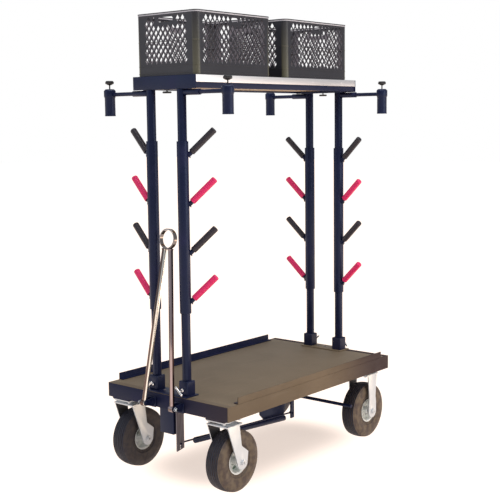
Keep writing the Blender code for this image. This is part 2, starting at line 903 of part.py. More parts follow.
wall_width = crate_width - 2 * crate_wall_inset
wall_length = crate_length - 2 * crate_wall_inset
crate = rounded_box("crate_stock", wall_width, wall_length, (0.0, crate_height - 0.001), crate_corner)
rim = rounded_box(
    "crate_rim",
    crate_width + 2 * crate_rim_out,
    crate_length + 2 * crate_rim_out,
    (crate_height - crate_rim_height, crate_height),
    crate_corner,
)
band = rounded_box(
    "crate_band",
    crate_width - 2 * crate_band_inset,
    crate_length - 2 * crate_band_inset,
    (0.001, crate_band_top - crate_band_ease),
    crate_corner,
)
fuse(crate, rim, band)
inside = rounded_box(
    "crate_inside",
    wall_width - 2 * crate_wall,
    wall_length - 2 * crate_wall,
    (crate_floor, crate_height + 0.02),
    crate_corner - crate_wall,
)
cut(
    crate,
    inside,
    lattice_cutter("long_lattice", lattice_long_columns, crate_length, "X", crate_width + 0.05),
    lattice_cutter("short_lattice", lattice_short_columns, crate_width, "Y", crate_length + 0.05),
    handle_cutter("long_handles", "X", crate_width + 0.05),
    handle_cutter("short_handles", "Y", crate_length + 0.05),
)
for i in range(-2, 3):
    for side in (-1, 1):
        middle = side * (floor_slot_length + floor_slots_apart) / 2
        cut(
            crate,
            span_box(
                "floor_slot",
                (middle - floor_slot_length / 2, middle + floor_slot_length / 2),
                (i * floor_slot_pitch - floor_slot_width / 2, i * floor_slot_pitch + floor_slot_width / 2),
                (-0.01, crate_floor + 0.01),
            ),
        )
bake(crate)
smooth(crate.data)
crate_mesh = crate.data
crate_mesh.name = "lattice_crate"
bpy.data.objects.remove(crate, do_unlink=True)
place("front_crate", crate_mesh, crate_plastic, (0.0, front_crate_y, crate_bottom))
place("rear_crate", crate_mesh, crate_plastic, (0.0, rear_crate_y, crate_bottom))

# Tow bar: two legs with eyes at the foot, welded to a short pipe ring at the top
lean = Vector((0.0, math.sin(tow_lean), math.cos(tow_lean)))
across_bar = Vector((0.0, math.cos(tow_lean), -math.sin(tow_lean)))
foot_line = Vector((0.0, hinge_y, hinge_z))
ring_centre = foot_line + lean * tow_ring_height
ring_out = rod_between(
    "ring_out",
    ring_centre - across_bar * tow_ring_depth / 2,
    ring_centre + across_bar * tow_ring_depth / 2,
    tow_ring_radius,
    20,
)
for side in (-1, 1):
    foot = foot_line + Vector((side * tow_foot_x, 0.0, 0.0))
    head = foot_line + lean * (tow_ring_height - tow_ring_radius * 0.86)
    head.x = side * tow_top_x
    leg = rod_between("tow_leg", foot, head, tow_leg_radius, 10)
    eye = rod_between(
        "tow_eye",
        foot - Vector((tow_eye_width / 2, 0, 0)),
        foot + Vector((tow_eye_width / 2, 0, 0)),
        tow_eye_radius,
        12,
    )
    fuse(ring_out, leg, eye)
for side in (-1, 1):
    foot = foot_line + Vector((side * tow_foot_x, 0.0, 0.0))
    cut(
        ring_out,
        rod_between(
            "eye_bore",
            foot - Vector((tow_eye_width, 0, 0)),
            foot + Vector((tow_eye_width, 0, 0)),
            hole_radius(hinge_pin_radius, running_gap, 8),
            8,
        ),
    )
cut(
    ring_out,
    rod_between(
        "ring_bore",
        ring_centre - across_bar * tow_ring_depth,
        ring_centre + across_bar * tow_ring_depth,
        tow_ring_radius - tow_ring_wall,
        20,
    ),
)
part("tow_bar", ring_out, chrome, tuple(foot_line))

# Hinge brackets on the front edge sheet, each with two ears and its pin
for name, side in (("left_tow_bracket", -1), ("right_tow_bracket", 1)):
    x = side * tow_foot_x
    face = -half_l - gap
    bracket = span_box(
        "bracket_base",
        (x - hinge_base_width / 2, x + hinge_base_width / 2),
        (face - hinge_base_thickness, face),
        (hinge_z - hinge_base_height / 2, hinge_z + hinge_base_height / 2 - 0.006),
        0.001,
    )
    ear_offset = tow_eye_width / 2 + gap + hinge_ear / 2
    for hand in (-1, 1):
        outline = arc((hinge_y, hinge_z), hinge_ear_radius, 90, 270, 5)
        outline += [(face - 0.001, hinge_z - 0.020), (face - 0.001, hinge_z + 0.016)]
        fuse(bracket, flat_outline("bracket_ear", outline, hinge_ear, "YZ", x + hand * ear_offset))
    fuse(
        bracket,
        rod_between(
            "hinge_pin",
            (x - side * (ear_offset + 0.006), hinge_y, hinge_z),
            (x + side * hinge_pin_reach, hinge_y, hinge_z),
            hinge_pin_radius,
            8,
        ),
        rod_between(
            "hinge_nut",
            (x + side * (ear_offset + 0.001), hinge_y, hinge_z),
            (x + side * (ear_offset + 0.001 + hinge_nut_length), hinge_y, hinge_z),
            hinge_nut_radius,
            6,
        ),
    )
    part(name, bracket, black_paint)

# Brake block: a channel behind the front edge sheet that carries the front lever's pivot
block_front = -half_l + sheet + gap
block_back = block_front + block_depth
block = span_box(
    "block_stock",
    both_ends(block_width / 2),
    (block_front, block_back),
    (block_bottom, ledge_bottom - gap),
    0.0015,
)
bake(block)
cut(
    block,
    span_box(
        "block_hollow",
        both_ends(block_width / 2 - block_wall),
        (block_front + block_wall, block_back + 0.01),
        (block_bottom + block_wall, ledge_bottom + 0.01),
    ),
)
pivot_start = block_width / 2 - block_wall / 2
pivot_end = lever_x + lever_thickness / 2 + 0.009
fuse(
    block,
    rod_between(
        "lever_pivot",
        (pivot_start, front_lever_y, front_lever_z),
        (pivot_end, front_lever_y, front_lever_z),
        lever_pivot_radius,
        12,
    ),
    rod_between(
        "pivot_shoulder",
        (pivot_start, front_lever_y, front_lever_z),
        (lever_x - lever_thickness / 2 - gap, front_lever_y, front_lever_z),
        lever_shoulder_radius,
        12,
    ),
)
part("brake_block", block, black_paint)

# Front brake lever: a flat bar with three holes near its slanted foot
pin_hole = hole_radius(rod_radius, running_gap, 8)
half_lever = front_lever_width / 2
outline = arc((front_lever_y, front_lever_z), half_lever, 0, 180, 8)
outline.append((front_lever_y - half_lever, front_lever_bottom))
outline.append((front_lever_y + half_lever, front_lever_bottom + 0.008))
lever = flat_outline("lever_stock", outline, lever_thickness, "YZ", lever_x)
holes = [(front_lever_z, hole_radius(lever_pivot_radius, running_gap, 12), 12)]
for i in range(3):
    holes.append((rod_front[1] - i * lever_hole_pitch, pin_hole, 8))
for z, radius, sides in holes:
    hole_ends = ((lever_x - 0.01, front_lever_y, z), (lever_x + 0.01, front_lever_y, z))
    cut(lever, rod_between("lever_hole", *hole_ends, radius, sides))
part("brake_lever", lever, black_paint, (lever_x, front_lever_y, front_lever_z))

# Brake rod with a cross pin at each end
brake_rod = rod_between("rod_stock", (rod_x, *rod_front), (rod_x, *rod_rear), rod_radius, 8)
rod_pin_end = lever_x + lever_thickness / 2 + 0.004
for y, z in (rod_front, rod_rear):
    fuse(
        brake_rod,
        rod_between("rod_pin", (rod_x - 0.003, y, z), (rod_pin_end, y, z), rod_radius, 8),
        rod_between("rod_eye", (rod_x - 0.0045, y, z), (rod_x + 0.0045, y, z), 0.0075, 8),
    )
part("brake_rod", brake_rod, black_paint, (rod_x, *rod_front))

# Brake shaft: rear lever, cross shaft, swing arm and the bar that bears on the rear tyres
shaft = rod_between(
    "shaft_stock",
    (shaft_left_x, rear_lever_y, rear_lever_z),
    (lever_x + lever_thickness / 2 + 0.002, rear_lever_y, rear_lever_z),
    shaft_radius,
    12,
)
half_rear = rear_lever_width / 2
outline = arc((rear_lever_y, rear_lever_z), half_rear, 0, 180, 6)
outline += [(rear_lever_y - half_rear, rear_lever_bottom), (rear_lever_y + half_rear, rear_lever_bottom)]
rear_lever = flat_outline("rear_lever", outline, lever_thickness, "YZ", lever_x)
cut(
    rear_lever,
    rod_between("rear_pin_hole", (lever_x - 0.01, *rod_rear), (lever_x + 0.01, *rod_rear), pin_hole, 8),
)
bake(rear_lever)
arm_way = Vector((0.0, brake_bar_y - rear_lever_y, brake_bar_z - rear_lever_z))
arm_angle = math.degrees(math.atan2(arm_way.z, arm_way.y))
outline = arc((rear_lever_y, rear_lever_z), brake_arm_root_radius, arm_angle + 90, arm_angle + 270, 5)
outline += arc((brake_bar_y, brake_bar_z), brake_arm_tip_radius, arm_angle - 90, arm_angle + 90, 5)
swing_arm = flat_outline("swing_arm", outline, brake_arm_thickness, "YZ", brake_arm_x)
brake_bar = rod_between(
    "brake_bar",
    (-caster_x - brake_bar_past_tyre, brake_bar_y, brake_bar_z),
    (caster_x + brake_bar_past_tyre, brake_bar_y, brake_bar_z),
    brake_bar_radius,
    12,
)
fuse(shaft, rear_lever, swing_arm, brake_bar)
part("brake_shaft", shaft, black_paint, (0.0, rear_lever_y, rear_lever_z))

# Guide tube beside the rod, on a gusset under the cross members
guide = rod_between("guide_tube", (guide_x, *guide_front), (guide_x, *guide_rear), guide_radius, 12)


def guide_height(y):
    share = (y - guide_front[0]) / (guide_rear[0] - guide_front[0])
    return guide_front[1] + share * (guide_rear[1] - guide_front[1])


gusset_top = member_bottom - gap
outline = [
    (gusset_front_y, gusset_top),
    (gusset_front_y, guide_height(0.0) + 0.042),
    (0.040, guide_height(0.040)),
    (0.165, guide_height(0.165)),
    (gusset_rear_y - 0.012, guide_height(0.165) + 0.062),
    (gusset_rear_y, gusset_top),
]
fuse(guide, flat_outline("gusset", outline, gusset_thickness, "YZ", guide_x))
part("guide_tube", guide, black_paint)

# Front casters: plate with race and kingpin, swivelling fork, rim and tyre
crown_bottom = crown_top - crown_thickness
kingpin_bottom = crown_bottom - 0.011
for name, side in (("front_left", -1), ("front_right", 1)):
    x = side * caster_x
    plate = span_box(
        "plate_stock",
        (x - caster_plate_width / 2, x + caster_plate_width / 2),
        (front_swivel_y - caster_plate_length / 2, front_swivel_y + caster_plate_length / 2),
        (plate_bottom, plate_top),
        0.001,
    )
    fuse(
        plate,
        rod_between(
            "race",
            (x, front_swivel_y, plate_bottom + 0.001),
            (x, front_swivel_y, plate_bottom - race_height),
            race_radius,
            18,
            race_radius * 0.86,
        ),
        rod_between(
            "kingpin",
            (x, front_swivel_y, plate_bottom),
            (x, front_swivel_y, kingpin_bottom),
            kingpin_radius,
            12,
        ),
        rod_between(
            "kingpin_nut",
            (x, front_swivel_y, crown_bottom - gap),
            (x, front_swivel_y, kingpin_bottom - 0.001),
            kingpin_nut_radius,
            6,
        ),
    )
    part(name + "_caster_plate", plate, bright_zinc, (x, front_swivel_y, plate_top))


def fork_leg(x, top_y, top_z, foot_y, foot_z, lead=0.0):
    """A side sheet with a waist and a wide round foot about the axle, led forward where it trails."""
    neck_z = foot_z + fork_neck_rise
    share = (top_z - neck_z) / (top_z - foot_z)
    neck_y = top_y + (foot_y - top_y) * share - lead
    outline = [(top_y + fork_top_half, top_z), (top_y - fork_top_half, top_z)]
    outline.append((neck_y - fork_neck_half, neck_z))
    outline += arc((foot_y, foot_z), fork_foot_radius, 180, 360, 8)
    outline.append((foot_y + fork_foot_radius, foot_z + fork_shoulder_rise))
    outline.append((neck_y + fork_neck_half, neck_z))
    return flat_outline("fork_leg", outline, fork_sheet, "YZ", x)


def axle_set(x, y):
    reach = fork_gap + fork_sheet + axle_nut_length
    z = tyre_radius
    return (
        rod_between("axle", (x - reach - 0.002, y, z), (x + reach + 0.002, y, z), axle_radius, 12),
        rod_between("axle_head", (x - reach, y, z), (x - fork_gap - 0.002, y, z), axle_nut_radius, 6),
        rod_between("axle_nut", (x + fork_gap + 0.002, y, z), (x + reach, y, z), axle_nut_radius, 6),
    )


leg_offset = fork_gap + fork_sheet / 2
crown_half_width = fork_gap + fork_sheet - crown_inset
for name, side in (("front_left", -1), ("front_right", 1)):
    x = side * caster_x
    axle_y = front_swivel_y + front_trail
    fork = span_box(
        "crown",
        (x - crown_half_width, x + crown_half_width),
        (front_swivel_y - crown_half_length, front_swivel_y + crown_half_length),
        (crown_bottom, crown_top),
        0.0015,
    )
    for hand in (-1, 1):
        leg_x = x + hand * leg_offset
        leg_top = (front_swivel_y - fork_top_lead, crown_top - 0.003)
        fuse(fork, fork_leg(leg_x, *leg_top, axle_y, tyre_radius, fork_neck_lead))
    fuse(fork, *axle_set(x, axle_y))
    cut(
        fork,
        rod_between(
            "kingpin_bore",
            (x, front_swivel_y, crown_top + 0.01),
            (x, front_swivel_y, crown_bottom - 0.01),
            hole_radius(kingpin_radius, running_gap, 12),
            12,
        ),
    )
    part(name + "_fork", fork, bright_zinc, (x, front_swivel_y, crown_top))

# Rear casters: rigid forks under their own plates
for name, side in (("rear_left", -1), ("rear_right", 1)):
    x = side * caster_x
    fork = span_box(
        "fork_plate",
        (x - caster_plate_width / 2, x + caster_plate_width / 2),
        (rear_axle_y - caster_plate_length / 2, rear_axle_y + caster_plate_length / 2),
        (plate_bottom, plate_top),
        0.001,
    )
    fuse(
        fork,
        span_box(
            "fork_crown",
            (x - crown_half_width, x + crown_half_width),
            (rear_axle_y - crown_half_length, rear_axle_y + crown_half_length),
            (plate_bottom - 0.005, plate_bottom + 0.001),
        ),
    )
    for hand in (-1, 1):
        leg_x = x + hand * leg_offset
        fuse(fork, fork_leg(leg_x, rear_axle_y, plate_bottom - 0.001, rear_axle_y, tyre_radius))
    fuse(fork, *axle_set(x, rear_axle_y))
    part(name + "_fork", fork, bright_zinc, (x, rear_axle_y, plate_top))

# Wheels: steel rim with hub and dished web, ribbed pneumatic tyre
half_rim = rim_width / 2
half_hub = hub_width / 2
rim_profile = [
    (rim_radius + rim_flange, half_rim),
    (rim_radius, half_rim - 0.005),
    (rim_radius, -half_rim + 0.005),
    (rim_radius + rim_flange, -half_rim),
    (rim_radius - 0.003, -half_rim),
    (rim_radius - 0.004, -0.0025),
    (hub_radius, -0.0025),
    (hub_radius, -half_hub),
    (hole_radius(axle_radius, running_gap, 14), -half_hub),
    (hole_radius(axle_radius, running_gap, 14), half_hub),
    (hub_radius, half_hub),
    (hub_radius, 0.0025),
    (rim_radius - 0.004, 0.0025),
    (rim_radius - 0.003, half_rim),
]
rim_shape = turned("rim_stock", rim_profile, 14, "X")
smooth(rim_shape.data)
rim_mesh = rim_shape.data
rim_mesh.name = "wheel_rim"
bpy.data.objects.remove(rim_shape, do_unlink=True)

half_tyre = tyre_width / 2
bead = hole_radius(rim_radius, gap, 18)
half_bead = half_rim - 0.005 - gap
groove = 0.0035
tyre_half = [
    (tyre_radius, 0.0),
    (tyre_radius - 0.0002, -0.010),
    (tyre_radius - groove, -0.013),
    (tyre_radius - 0.0008, -0.016),
    (tyre_radius - 0.006, -half_tyre * 0.72),
    (tyre_radius * 0.82, -half_tyre * 0.98),
    (tyre_radius * 0.66, -half_tyre),
    (tyre_radius * 0.50, -half_tyre * 0.86),
    (bead, -half_bead),
]
tyre_profile = [(r, -h) for r, h in reversed(tyre_half[1:])] + tyre_half
tyre_shape = turned("tyre_stock", tyre_profile, 18, "X")
smooth(tyre_shape.data)
tyre_mesh = tyre_shape.data
tyre_mesh.name = "ribbed_tyre"
bpy.data.objects.remove(tyre_shape, do_unlink=True)

for name, side, y in (
    ("front_left", -1, front_swivel_y + front_trail),
    ("front_right", 1, front_swivel_y + front_trail),
    ("rear_left", -1, rear_axle_y),
    ("rear_right", 1, rear_axle_y),
):
    spot = (side * caster_x, y, tyre_radius)
    place(name + "_rim", rim_mesh, rim_paint, spot)
    place(name + "_tyre", tyre_mesh, rubber, spot)
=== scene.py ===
"""Utility cart: finishes and fine pieces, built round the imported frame.

Metres, +Z up, floor at z = 0. The tow bar is at -Y and the width runs along X.
"""

import json
import math

import bpy
from mathutils import Matrix, Vector

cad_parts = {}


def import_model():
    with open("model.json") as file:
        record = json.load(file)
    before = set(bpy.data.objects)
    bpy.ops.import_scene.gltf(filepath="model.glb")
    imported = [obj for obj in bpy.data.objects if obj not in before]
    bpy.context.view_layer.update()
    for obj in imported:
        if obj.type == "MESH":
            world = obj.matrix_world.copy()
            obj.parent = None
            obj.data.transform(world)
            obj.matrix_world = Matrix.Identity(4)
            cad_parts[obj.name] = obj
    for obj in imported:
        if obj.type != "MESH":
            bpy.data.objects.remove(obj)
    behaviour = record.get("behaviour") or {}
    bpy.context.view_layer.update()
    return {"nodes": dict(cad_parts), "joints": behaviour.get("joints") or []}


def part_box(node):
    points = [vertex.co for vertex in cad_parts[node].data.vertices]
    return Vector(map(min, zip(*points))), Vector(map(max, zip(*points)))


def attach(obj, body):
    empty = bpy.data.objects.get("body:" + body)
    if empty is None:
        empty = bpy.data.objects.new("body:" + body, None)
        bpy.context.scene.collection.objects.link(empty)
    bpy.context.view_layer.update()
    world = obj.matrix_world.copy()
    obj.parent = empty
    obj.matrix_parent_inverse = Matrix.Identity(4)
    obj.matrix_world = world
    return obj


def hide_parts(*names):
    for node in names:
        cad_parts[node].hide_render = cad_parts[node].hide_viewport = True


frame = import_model()
joints = {joint["name"]: joint for joint in frame["joints"]}

# Sides, ends and ways
SIDES = {"left": -1, "right": 1}
ENDS = {"front": -1, "rear": 1}
CORNERS = {f"{end}_{side}": (x, y) for end, y in ENDS.items() for side, x in SIDES.items()}
UP = (0.0, 0.0, 1.0)
ACROSS = (1.0, 0.0, 0.0)
ORIGIN = (0.0, 0.0, 0.0)

# Places taken from the frame
panel_low, panel_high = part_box("deck_panel")
middle_y = (panel_low[1] + panel_high[1]) / 2
deck_top = panel_high[2]
strip_top = deck_top + 0.0053
shelf_low, shelf_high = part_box("shelf_frame")
plywood_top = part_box("shelf_floor")[1][2]


def pivot(joint):
    return Vector(joints[joint]["pos_m"])


def centre_of(node):
    low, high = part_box(node)
    return (Vector(low) + Vector(high)) / 2


wheel_x = pivot("front_right_wheel_roll").x

# Sizes of the finished pieces
gap = 0.0003
post_radius = 0.019
post_bore = 0.016
post_sides = 48
stub_radius = 0.01225
stub_bore = 0.009
stub_end_x = 0.19
stub_drop = 0.0135
stop_pin_radius = 0.003
stop_pin_drop = 0.0034
stop_pin_reach = 0.0235
plate_half_width = 0.125
plate_depth = 0.0315
plate_thickness = 0.011
plate_drop = 0.0123
shelf_end_sheet = 0.0053
rivet_count = 5
sleeve_radius = 0.024
sleeve_bore = 0.0196
sleeve_length = 0.71
peg_count = 4
peg_pitch = 0.2015
peg_from_top = 0.0595
peg_angle = math.radians(44)
peg_stub_radius = 0.0095
peg_stub_length = 0.018
grip_radius = 0.0139
grip_length = 0.133
grip_ring_pitch = 0.0075
grip_groove = 0.0007
sleeve_turns = {
    "front_right": math.radians(40),
    "front_left": math.radians(172),
    "rear_left": math.radians(185),
    "rear_right": math.radians(-5),
}
tommy_tilt = math.radians(42)
tommy_half = 0.023
tommy_ball = 0.0055
arm_radius = 0.0084
receiver_radius = 0.0225
receiver_bore = 0.0185
receiver_head_radius = 0.0254
knob_radius = 0.0185
knob_foot = 0.0225
knob_ridges = 14
tyre_radius = 0.132
tyre_width = 0.079
tyre_groove = 0.0032
tread_fall = 0.006
rim_radius = 0.0512
rim_width = 0.066
hub_radius = 0.016
hub_width = 0.076
web_bolt_count = 5
web_bolt_circle = 0.033
axle_radius = 0.0074
fork_reach = 0.0585
fork_lean = 0.012
caster_plate_thickness = 0.006
rear_crown_thickness = 0.005
crate_width = 0.334
crate_length = 0.469
crate_height = 0.29
crate_corner = 0.024
crate_depth = 0.0034
crate_band_top = 0.078
crate_mid_rib = 0.172
crate_step = 0.035
crate_swell = 0.003
crate_rim_height = 0.016
crate_rim_out = 0.0044
diamond_pitch = 0.0272
diamond_rise = 0.0368
diamond_bar = 0.0046
short_handle = (0.086, 0.02)
long_handle = (0.044, 0.018)
handle_drop = 0.03
slot_half_length = 0.058
slot_half_width = 0.02
slot_pitch = 0.058
slot_middle = 0.072
tow_foot_x = 0.082
tow_leg_radius = 0.0105
tow_lean = math.radians(6.8)
tow_ring_height = 0.7
tow_ring_radius = 0.043
tow_ring_wall = 0.005
tow_ring_depth = 0.02
tow_top_x = 0.017
tow_eye_half = 0.0108


class Value:
    """A shader number that arithmetic extends with Math nodes."""

    def __init__(self, nodes, socket):
        self.nodes = nodes
        self.socket = socket

    def math(self, operation, first, second=0.0):
        return self.nodes.node("ShaderNodeMath", {"operation": operation}, {0: first, 1: second})

    def __add__(self, other):
        return self.math("ADD", self, other)

    def __radd__(self, other):
        return self.math("ADD", other, self)

    def __sub__(self, other):
        return self.math("SUBTRACT", self, other)

    def __rsub__(self, other):
        return self.math("SUBTRACT", other, self)

    def __mul__(self, other):
        return self.math("MULTIPLY", self, other)

    def __rmul__(self, other):
        return self.math("MULTIPLY", other, self)

    def absolute(self):
        return self.math("ABSOLUTE", self)

    def at_least(self, other):
        return self.math("MAXIMUM", self, other)


class Nodes:
    """The node tree of a material or world and the way its nodes are added."""

    def __init__(self, owner):
        owner.use_nodes = True
        self.tree = owner.node_tree

    def node(self, kind, settings=None, inputs=None, output=0):
        added = self.tree.nodes.new(kind)
        for key, value in (settings or {}).items():
            setattr(added, key, value)
        for key, value in (inputs or {}).items():
            self.feed(added.inputs[key], value)
        return Value(self, added.outputs[output]) if len(added.outputs) else None

    def feed(self, socket, value):
        if isinstance(value, Value):
            self.tree.links.new(value.socket, socket)
        elif socket.type == "RGBA":
            socket.default_value = (*value, 1.0)
        else:
            socket.default_value = value

    def place(self, stretch):
        """Object coordinates, stretched where a pattern runs along one way."""
        spot = self.node("ShaderNodeTexCoord", output="Object")
        return self.node("ShaderNodeMapping", None, {"Vector": spot, "Scale": stretch})

    def noise(self, scale, detail=3.0, stretch=(1.0, 1.0, 1.0), rough=0.5):
        inputs = {"Vector": self.place(stretch), "Scale": scale, "Detail": detail, "Roughness": rough}
        return self.node("ShaderNodeTexNoise", None, inputs, "Fac")

    def spot(self, part, source="Object"):
        """X, Y or Z of the Object coordinates, or of the Normal."""
        coordinates = self.node("ShaderNodeTexCoord", output=source)
        return self.node("ShaderNodeSeparateXYZ", None, {"Vector": coordinates}, part)

    def between(self, value, low, high):
        settings = {"interpolation_type": "SMOOTHSTEP"}
        inputs = {"Value": value, "From Min": low, "From Max": high}
        return self.node("ShaderNodeMapRange", settings, inputs)

    def mix(self, share, first, second):
        """A blend of two colours. A Mix node takes colours at inputs 6 and 7 and gives one at output 2."""
        return self.node("ShaderNodeMix", {"data_type": "RGBA"}, {0: share, 6: first, 7: second}, 2)


class Finish(Nodes):
    """A material with one main shader."""

    def __init__(self, name, metallic=0.0, **constants):
        self.material = bpy.data.materials.new(name)
        super().__init__(self.material)
        self.shader = self.tree.nodes["Principled BSDF"]
        self.shader.inputs["Metallic"].default_value = metallic
        for socket, value in constants.items():
            self.shader.inputs[socket.replace("_", " ")].default_value = value

    def made(self, colour, roughness, relief=None, depth=None):
        """The material, with its colour, its roughness and the relief on it."""
        self.feed(self.shader.inputs["Base Color"], colour)
        self.feed(self.shader.inputs["Roughness"], roughness)
        if relief is not None:
            inputs = {"Height": relief, "Distance": depth, "Strength": 1.0}
            self.feed(self.shader.inputs["Normal"], self.node("ShaderNodeBump", None, inputs, "Normal"))
        return self.material


def navy_black(f):
    """Colour of the black paint: a navy cast, a little greener and lighter where it is rubbed."""
    rubbed = f.between(f.noise(9.0, 6.0), 0.48, 0.72)
    return f.mix(rubbed, (0.007, 0.01, 0.04), (0.015, 0.016, 0.056)), rubbed


def olive_grey(f):
    """Colour of the deck's coat: grain, scuffs along the length and slightly worn patches."""
    grain = f.noise(520.0, 4.0)
    scuff = f.between(f.noise(34.0, 6.0, (1.0, 0.12, 1.0), 0.6), 0.55, 0.75)
    stain = f.between(f.noise(5.0, 5.0), 0.42, 0.68)
    base = f.mix(stain, (0.222, 0.166, 0.106), (0.196, 0.146, 0.092))
    marked = f.mix(scuff * 0.4, base, (0.27, 0.21, 0.145))
    return f.mix(grain * 0.3, marked, (0.115, 0.086, 0.056)), grain


def clouded_zinc(f):
    """Colour of zinc plate, cloudy where it is rubbed."""
    cloud = f.noise(26.0, 5.0)
    return f.mix(cloud, (0.56, 0.6, 0.64), (0.76, 0.795, 0.83)), cloud


def powder_coat(name, wear):
    """Satin black powder coat with orange peel and dull rubbed patches, greyer with wear."""
    f = Finish(name, Specular_IOR_Level=0.34, Specular_Tint=(0.6, 0.74, 1.0, 1.0))
    colour, rubbed = navy_black(f)
    peel = f.noise(620.0, 2.0)
    worn = f.mix(wear, colour, (0.235, 0.195, 0.2))
    return f.made(worn, 0.32 + rubbed * 0.16 + peel * 0.06, peel, 0.00012)


def deck_coat():
    """Matt olive grey coat of the deck board."""
    f = Finish("deck_coat")
    colour, grain = olive_grey(f)
    return f.made(colour, 0.54 + grain * 0.18, grain, 0.00035)


def edge_coat():
    """Black paint, with the deck's olive coat over the top flange. The long outer sides take the olive as a
    painted warm reflection, darker toward the rear as painted shade.
    """
    f = Finish("deck_edge_coat", Specular_IOR_Level=0.18, Specular_Tint=(0.7, 0.8, 1.0, 1.0))
    black_paint, rubbed = navy_black(f)
    olive, grain = olive_grey(f)
    # The black paint grows lighter and warmer toward +X: painted light from the right.
    black_paint = f.mix(f.between(f.spot("X"), 0.0, 0.35) * 0.8, black_paint, (0.056, 0.042, 0.048))
    # The long outer sides get the olive as a painted warm reflection; the flange top gets the deck's own
    # coat.
    outside = f.between(f.spot("X").absolute(), panel_high[0] + 0.0008, panel_high[0] + 0.003)
    flange = f.between(f.spot("Z"), deck_top - 0.0016, deck_top - 0.0006)
    above = f.between(f.spot("Z"), deck_top + 0.0004, deck_top + 0.001)
    coat_and_reflection = outside.at_least(flange - above)
    # Toward the rear the olive turns dark: painted shade.
    rear_shade = 0.14 + f.between(f.spot("Y"), 0.05, 0.52) * 0.8
    worn = f.mix(rear_shade, olive, (0.04, 0.022, 0.022))
    return f.made(f.mix(coat_and_reflection, black_paint, worn), 0.46 + rubbed * 0.12 + coat_and_reflection * 0.1, grain, 0.0002)


def strip_coat():
    """Black paint with the deck's olive coat run over the low base strip."""
    f = Finish("socket_strip_coat", Specular_IOR_Level=0.3)
    black_paint, rubbed = navy_black(f)
    olive, grain = olive_grey(f)
    above = f.between(f.spot("Z"), strip_top, strip_top + 0.0008)
    return f.made(f.mix(above, olive, black_paint), 0.46 + rubbed * 0.16, grain, 0.0002)


def zinc_plate():
    """Bright zinc with a faint spangle and cloudy rubbed areas."""
    f = Finish("bright_zinc_plate", 0.45)
    inputs = {"Vector": f.place((1.0, 1.0, 1.0)), "Scale": 160.0}
    spangle = f.node("ShaderNodeTexVoronoi", None, inputs, "Distance")
    plate, cloud = clouded_zinc(f)
    return f.made(plate, 0.22 + spangle * 0.14 + cloud * 0.12, cloud, 0.0002)


def fork_zinc():
    """The bright zinc of the forks, with painted shade on the faces toward the tyre."""
    f = Finish("fork_zinc_plate", 0.45)
    plate, cloud = clouded_zinc(f)
    # Faces that turn toward the tyre go dark: painted shade.
    facing_out = f.spot("X", "Normal") * f.spot("X")
    from_wheel = f.spot("X").absolute() - wheel_x
    inner_face_shade = f.between(0.0 - facing_out * from_wheel, 0.004, 0.01) * 0.92
    colour = f.mix(inner_face_shade, plate, (0.03, 0.028, 0.036))
    return f.made(colour, 0.28 + cloud * 0.12 + inner_face_shade * 0.3, cloud, 0.0002)


def chrome_plate(name, light, dark):
    """Polished chrome with light handling marks."""
    f = Finish(name, 1.0)
    mark = f.between(f.noise(48.0, 6.0, (1.0, 1.0, 0.35)), 0.5, 0.8)
    return f.made(f.mix(mark, light, dark), 0.07 + mark * 0.2)


def tow_chrome():
    """Chrome of the tow bar's legs, with painted reflections in dark and light bands along them, set by
    which way each face turns, and handling marks.
    """
    f = Finish("tow_bar_chrome", 1.0)
    mark = f.between(f.noise(48.0, 6.0, (1.0, 1.0, 0.35)), 0.5, 0.8)
    # Bands keyed to which way a face turns, set apart for each leg: painted reflections.
    turned = {0: f.node("ShaderNodeTexCoord", output="Normal"), 1: (0.768, 0.64, 0.0)}
    reflection_facing = f.node("ShaderNodeVectorMath", {"operation": "DOT_PRODUCT"}, turned, "Value")
    left = f.mix(f.between(reflection_facing, -0.3, 0.15), (0.13, 0.09, 0.08), (0.96, 0.93, 0.85))
    right = f.mix(f.between(reflection_facing, -0.75, -0.4), (0.1, 0.075, 0.062), (0.42, 0.34, 0.345))
    right = f.mix(f.between(reflection_facing, 0.2, 0.45), right, (0.03, 0.016, 0.018))
    painted_reflections = f.mix(f.between(f.spot("X"), -0.001, 0.001), left, right)
    return f.made(f.mix(mark * 0.35, painted_reflections, (0.16, 0.13, 0.11)), 0.12 + mark * 0.16)


def anodised_strip():
    """Clear anodised aluminium, drawn along its length."""
    f = Finish("anodised_strip", 1.0)
    drawn = f.noise(900.0, 3.0, (1.0, 0.01, 1.0))
    colour = f.mix(drawn, (0.88, 0.86, 0.86), (0.98, 0.96, 0.96))
    return f.made(colour, 0.3 + drawn * 0.18, drawn, 0.00006)


def tyre_compound(name, wear):
    """Black rubber with a fine skin, a dusty bloom in places and side walls that brown with wear. A low
    `wear` makes them less brown, as painted shade.
    """
    f = Finish(name, Specular_IOR_Level=0.4)
    skin = f.noise(780.0, 3.0)
    dust = f.between(f.noise(22.0, 6.0), 0.45, 0.75)
    side = f.between(f.spot("X", "Normal").absolute(), 0.4, 0.99) * wear
    worn = f.between(f.noise(42.0, 5.0), 0.34, 0.66)
    tread = f.mix(dust, (0.018, 0.02, 0.036), (0.043, 0.042, 0.056))
    wall = f.mix(worn, (0.078, 0.055, 0.047), (0.15, 0.112, 0.075))
    return f.made(f.mix(side, tread, wall), 0.52 + dust * 0.24 + skin * 0.06, skin, 0.00022)


def rim_coat():
    """Silver grey rim paint with brake dust in places."""
    f = Finish("rim_coat", 0.1)
    speck = f.noise(300.0, 3.0)
    grime = f.between(f.noise(30.0, 5.0), 0.4, 0.7)
    colour = f.mix(grime, (0.96, 0.98, 0.96), (0.78, 0.81, 0.78))
    return f.made(colour, 0.28 + grime * 0.18, speck, 0.0001)


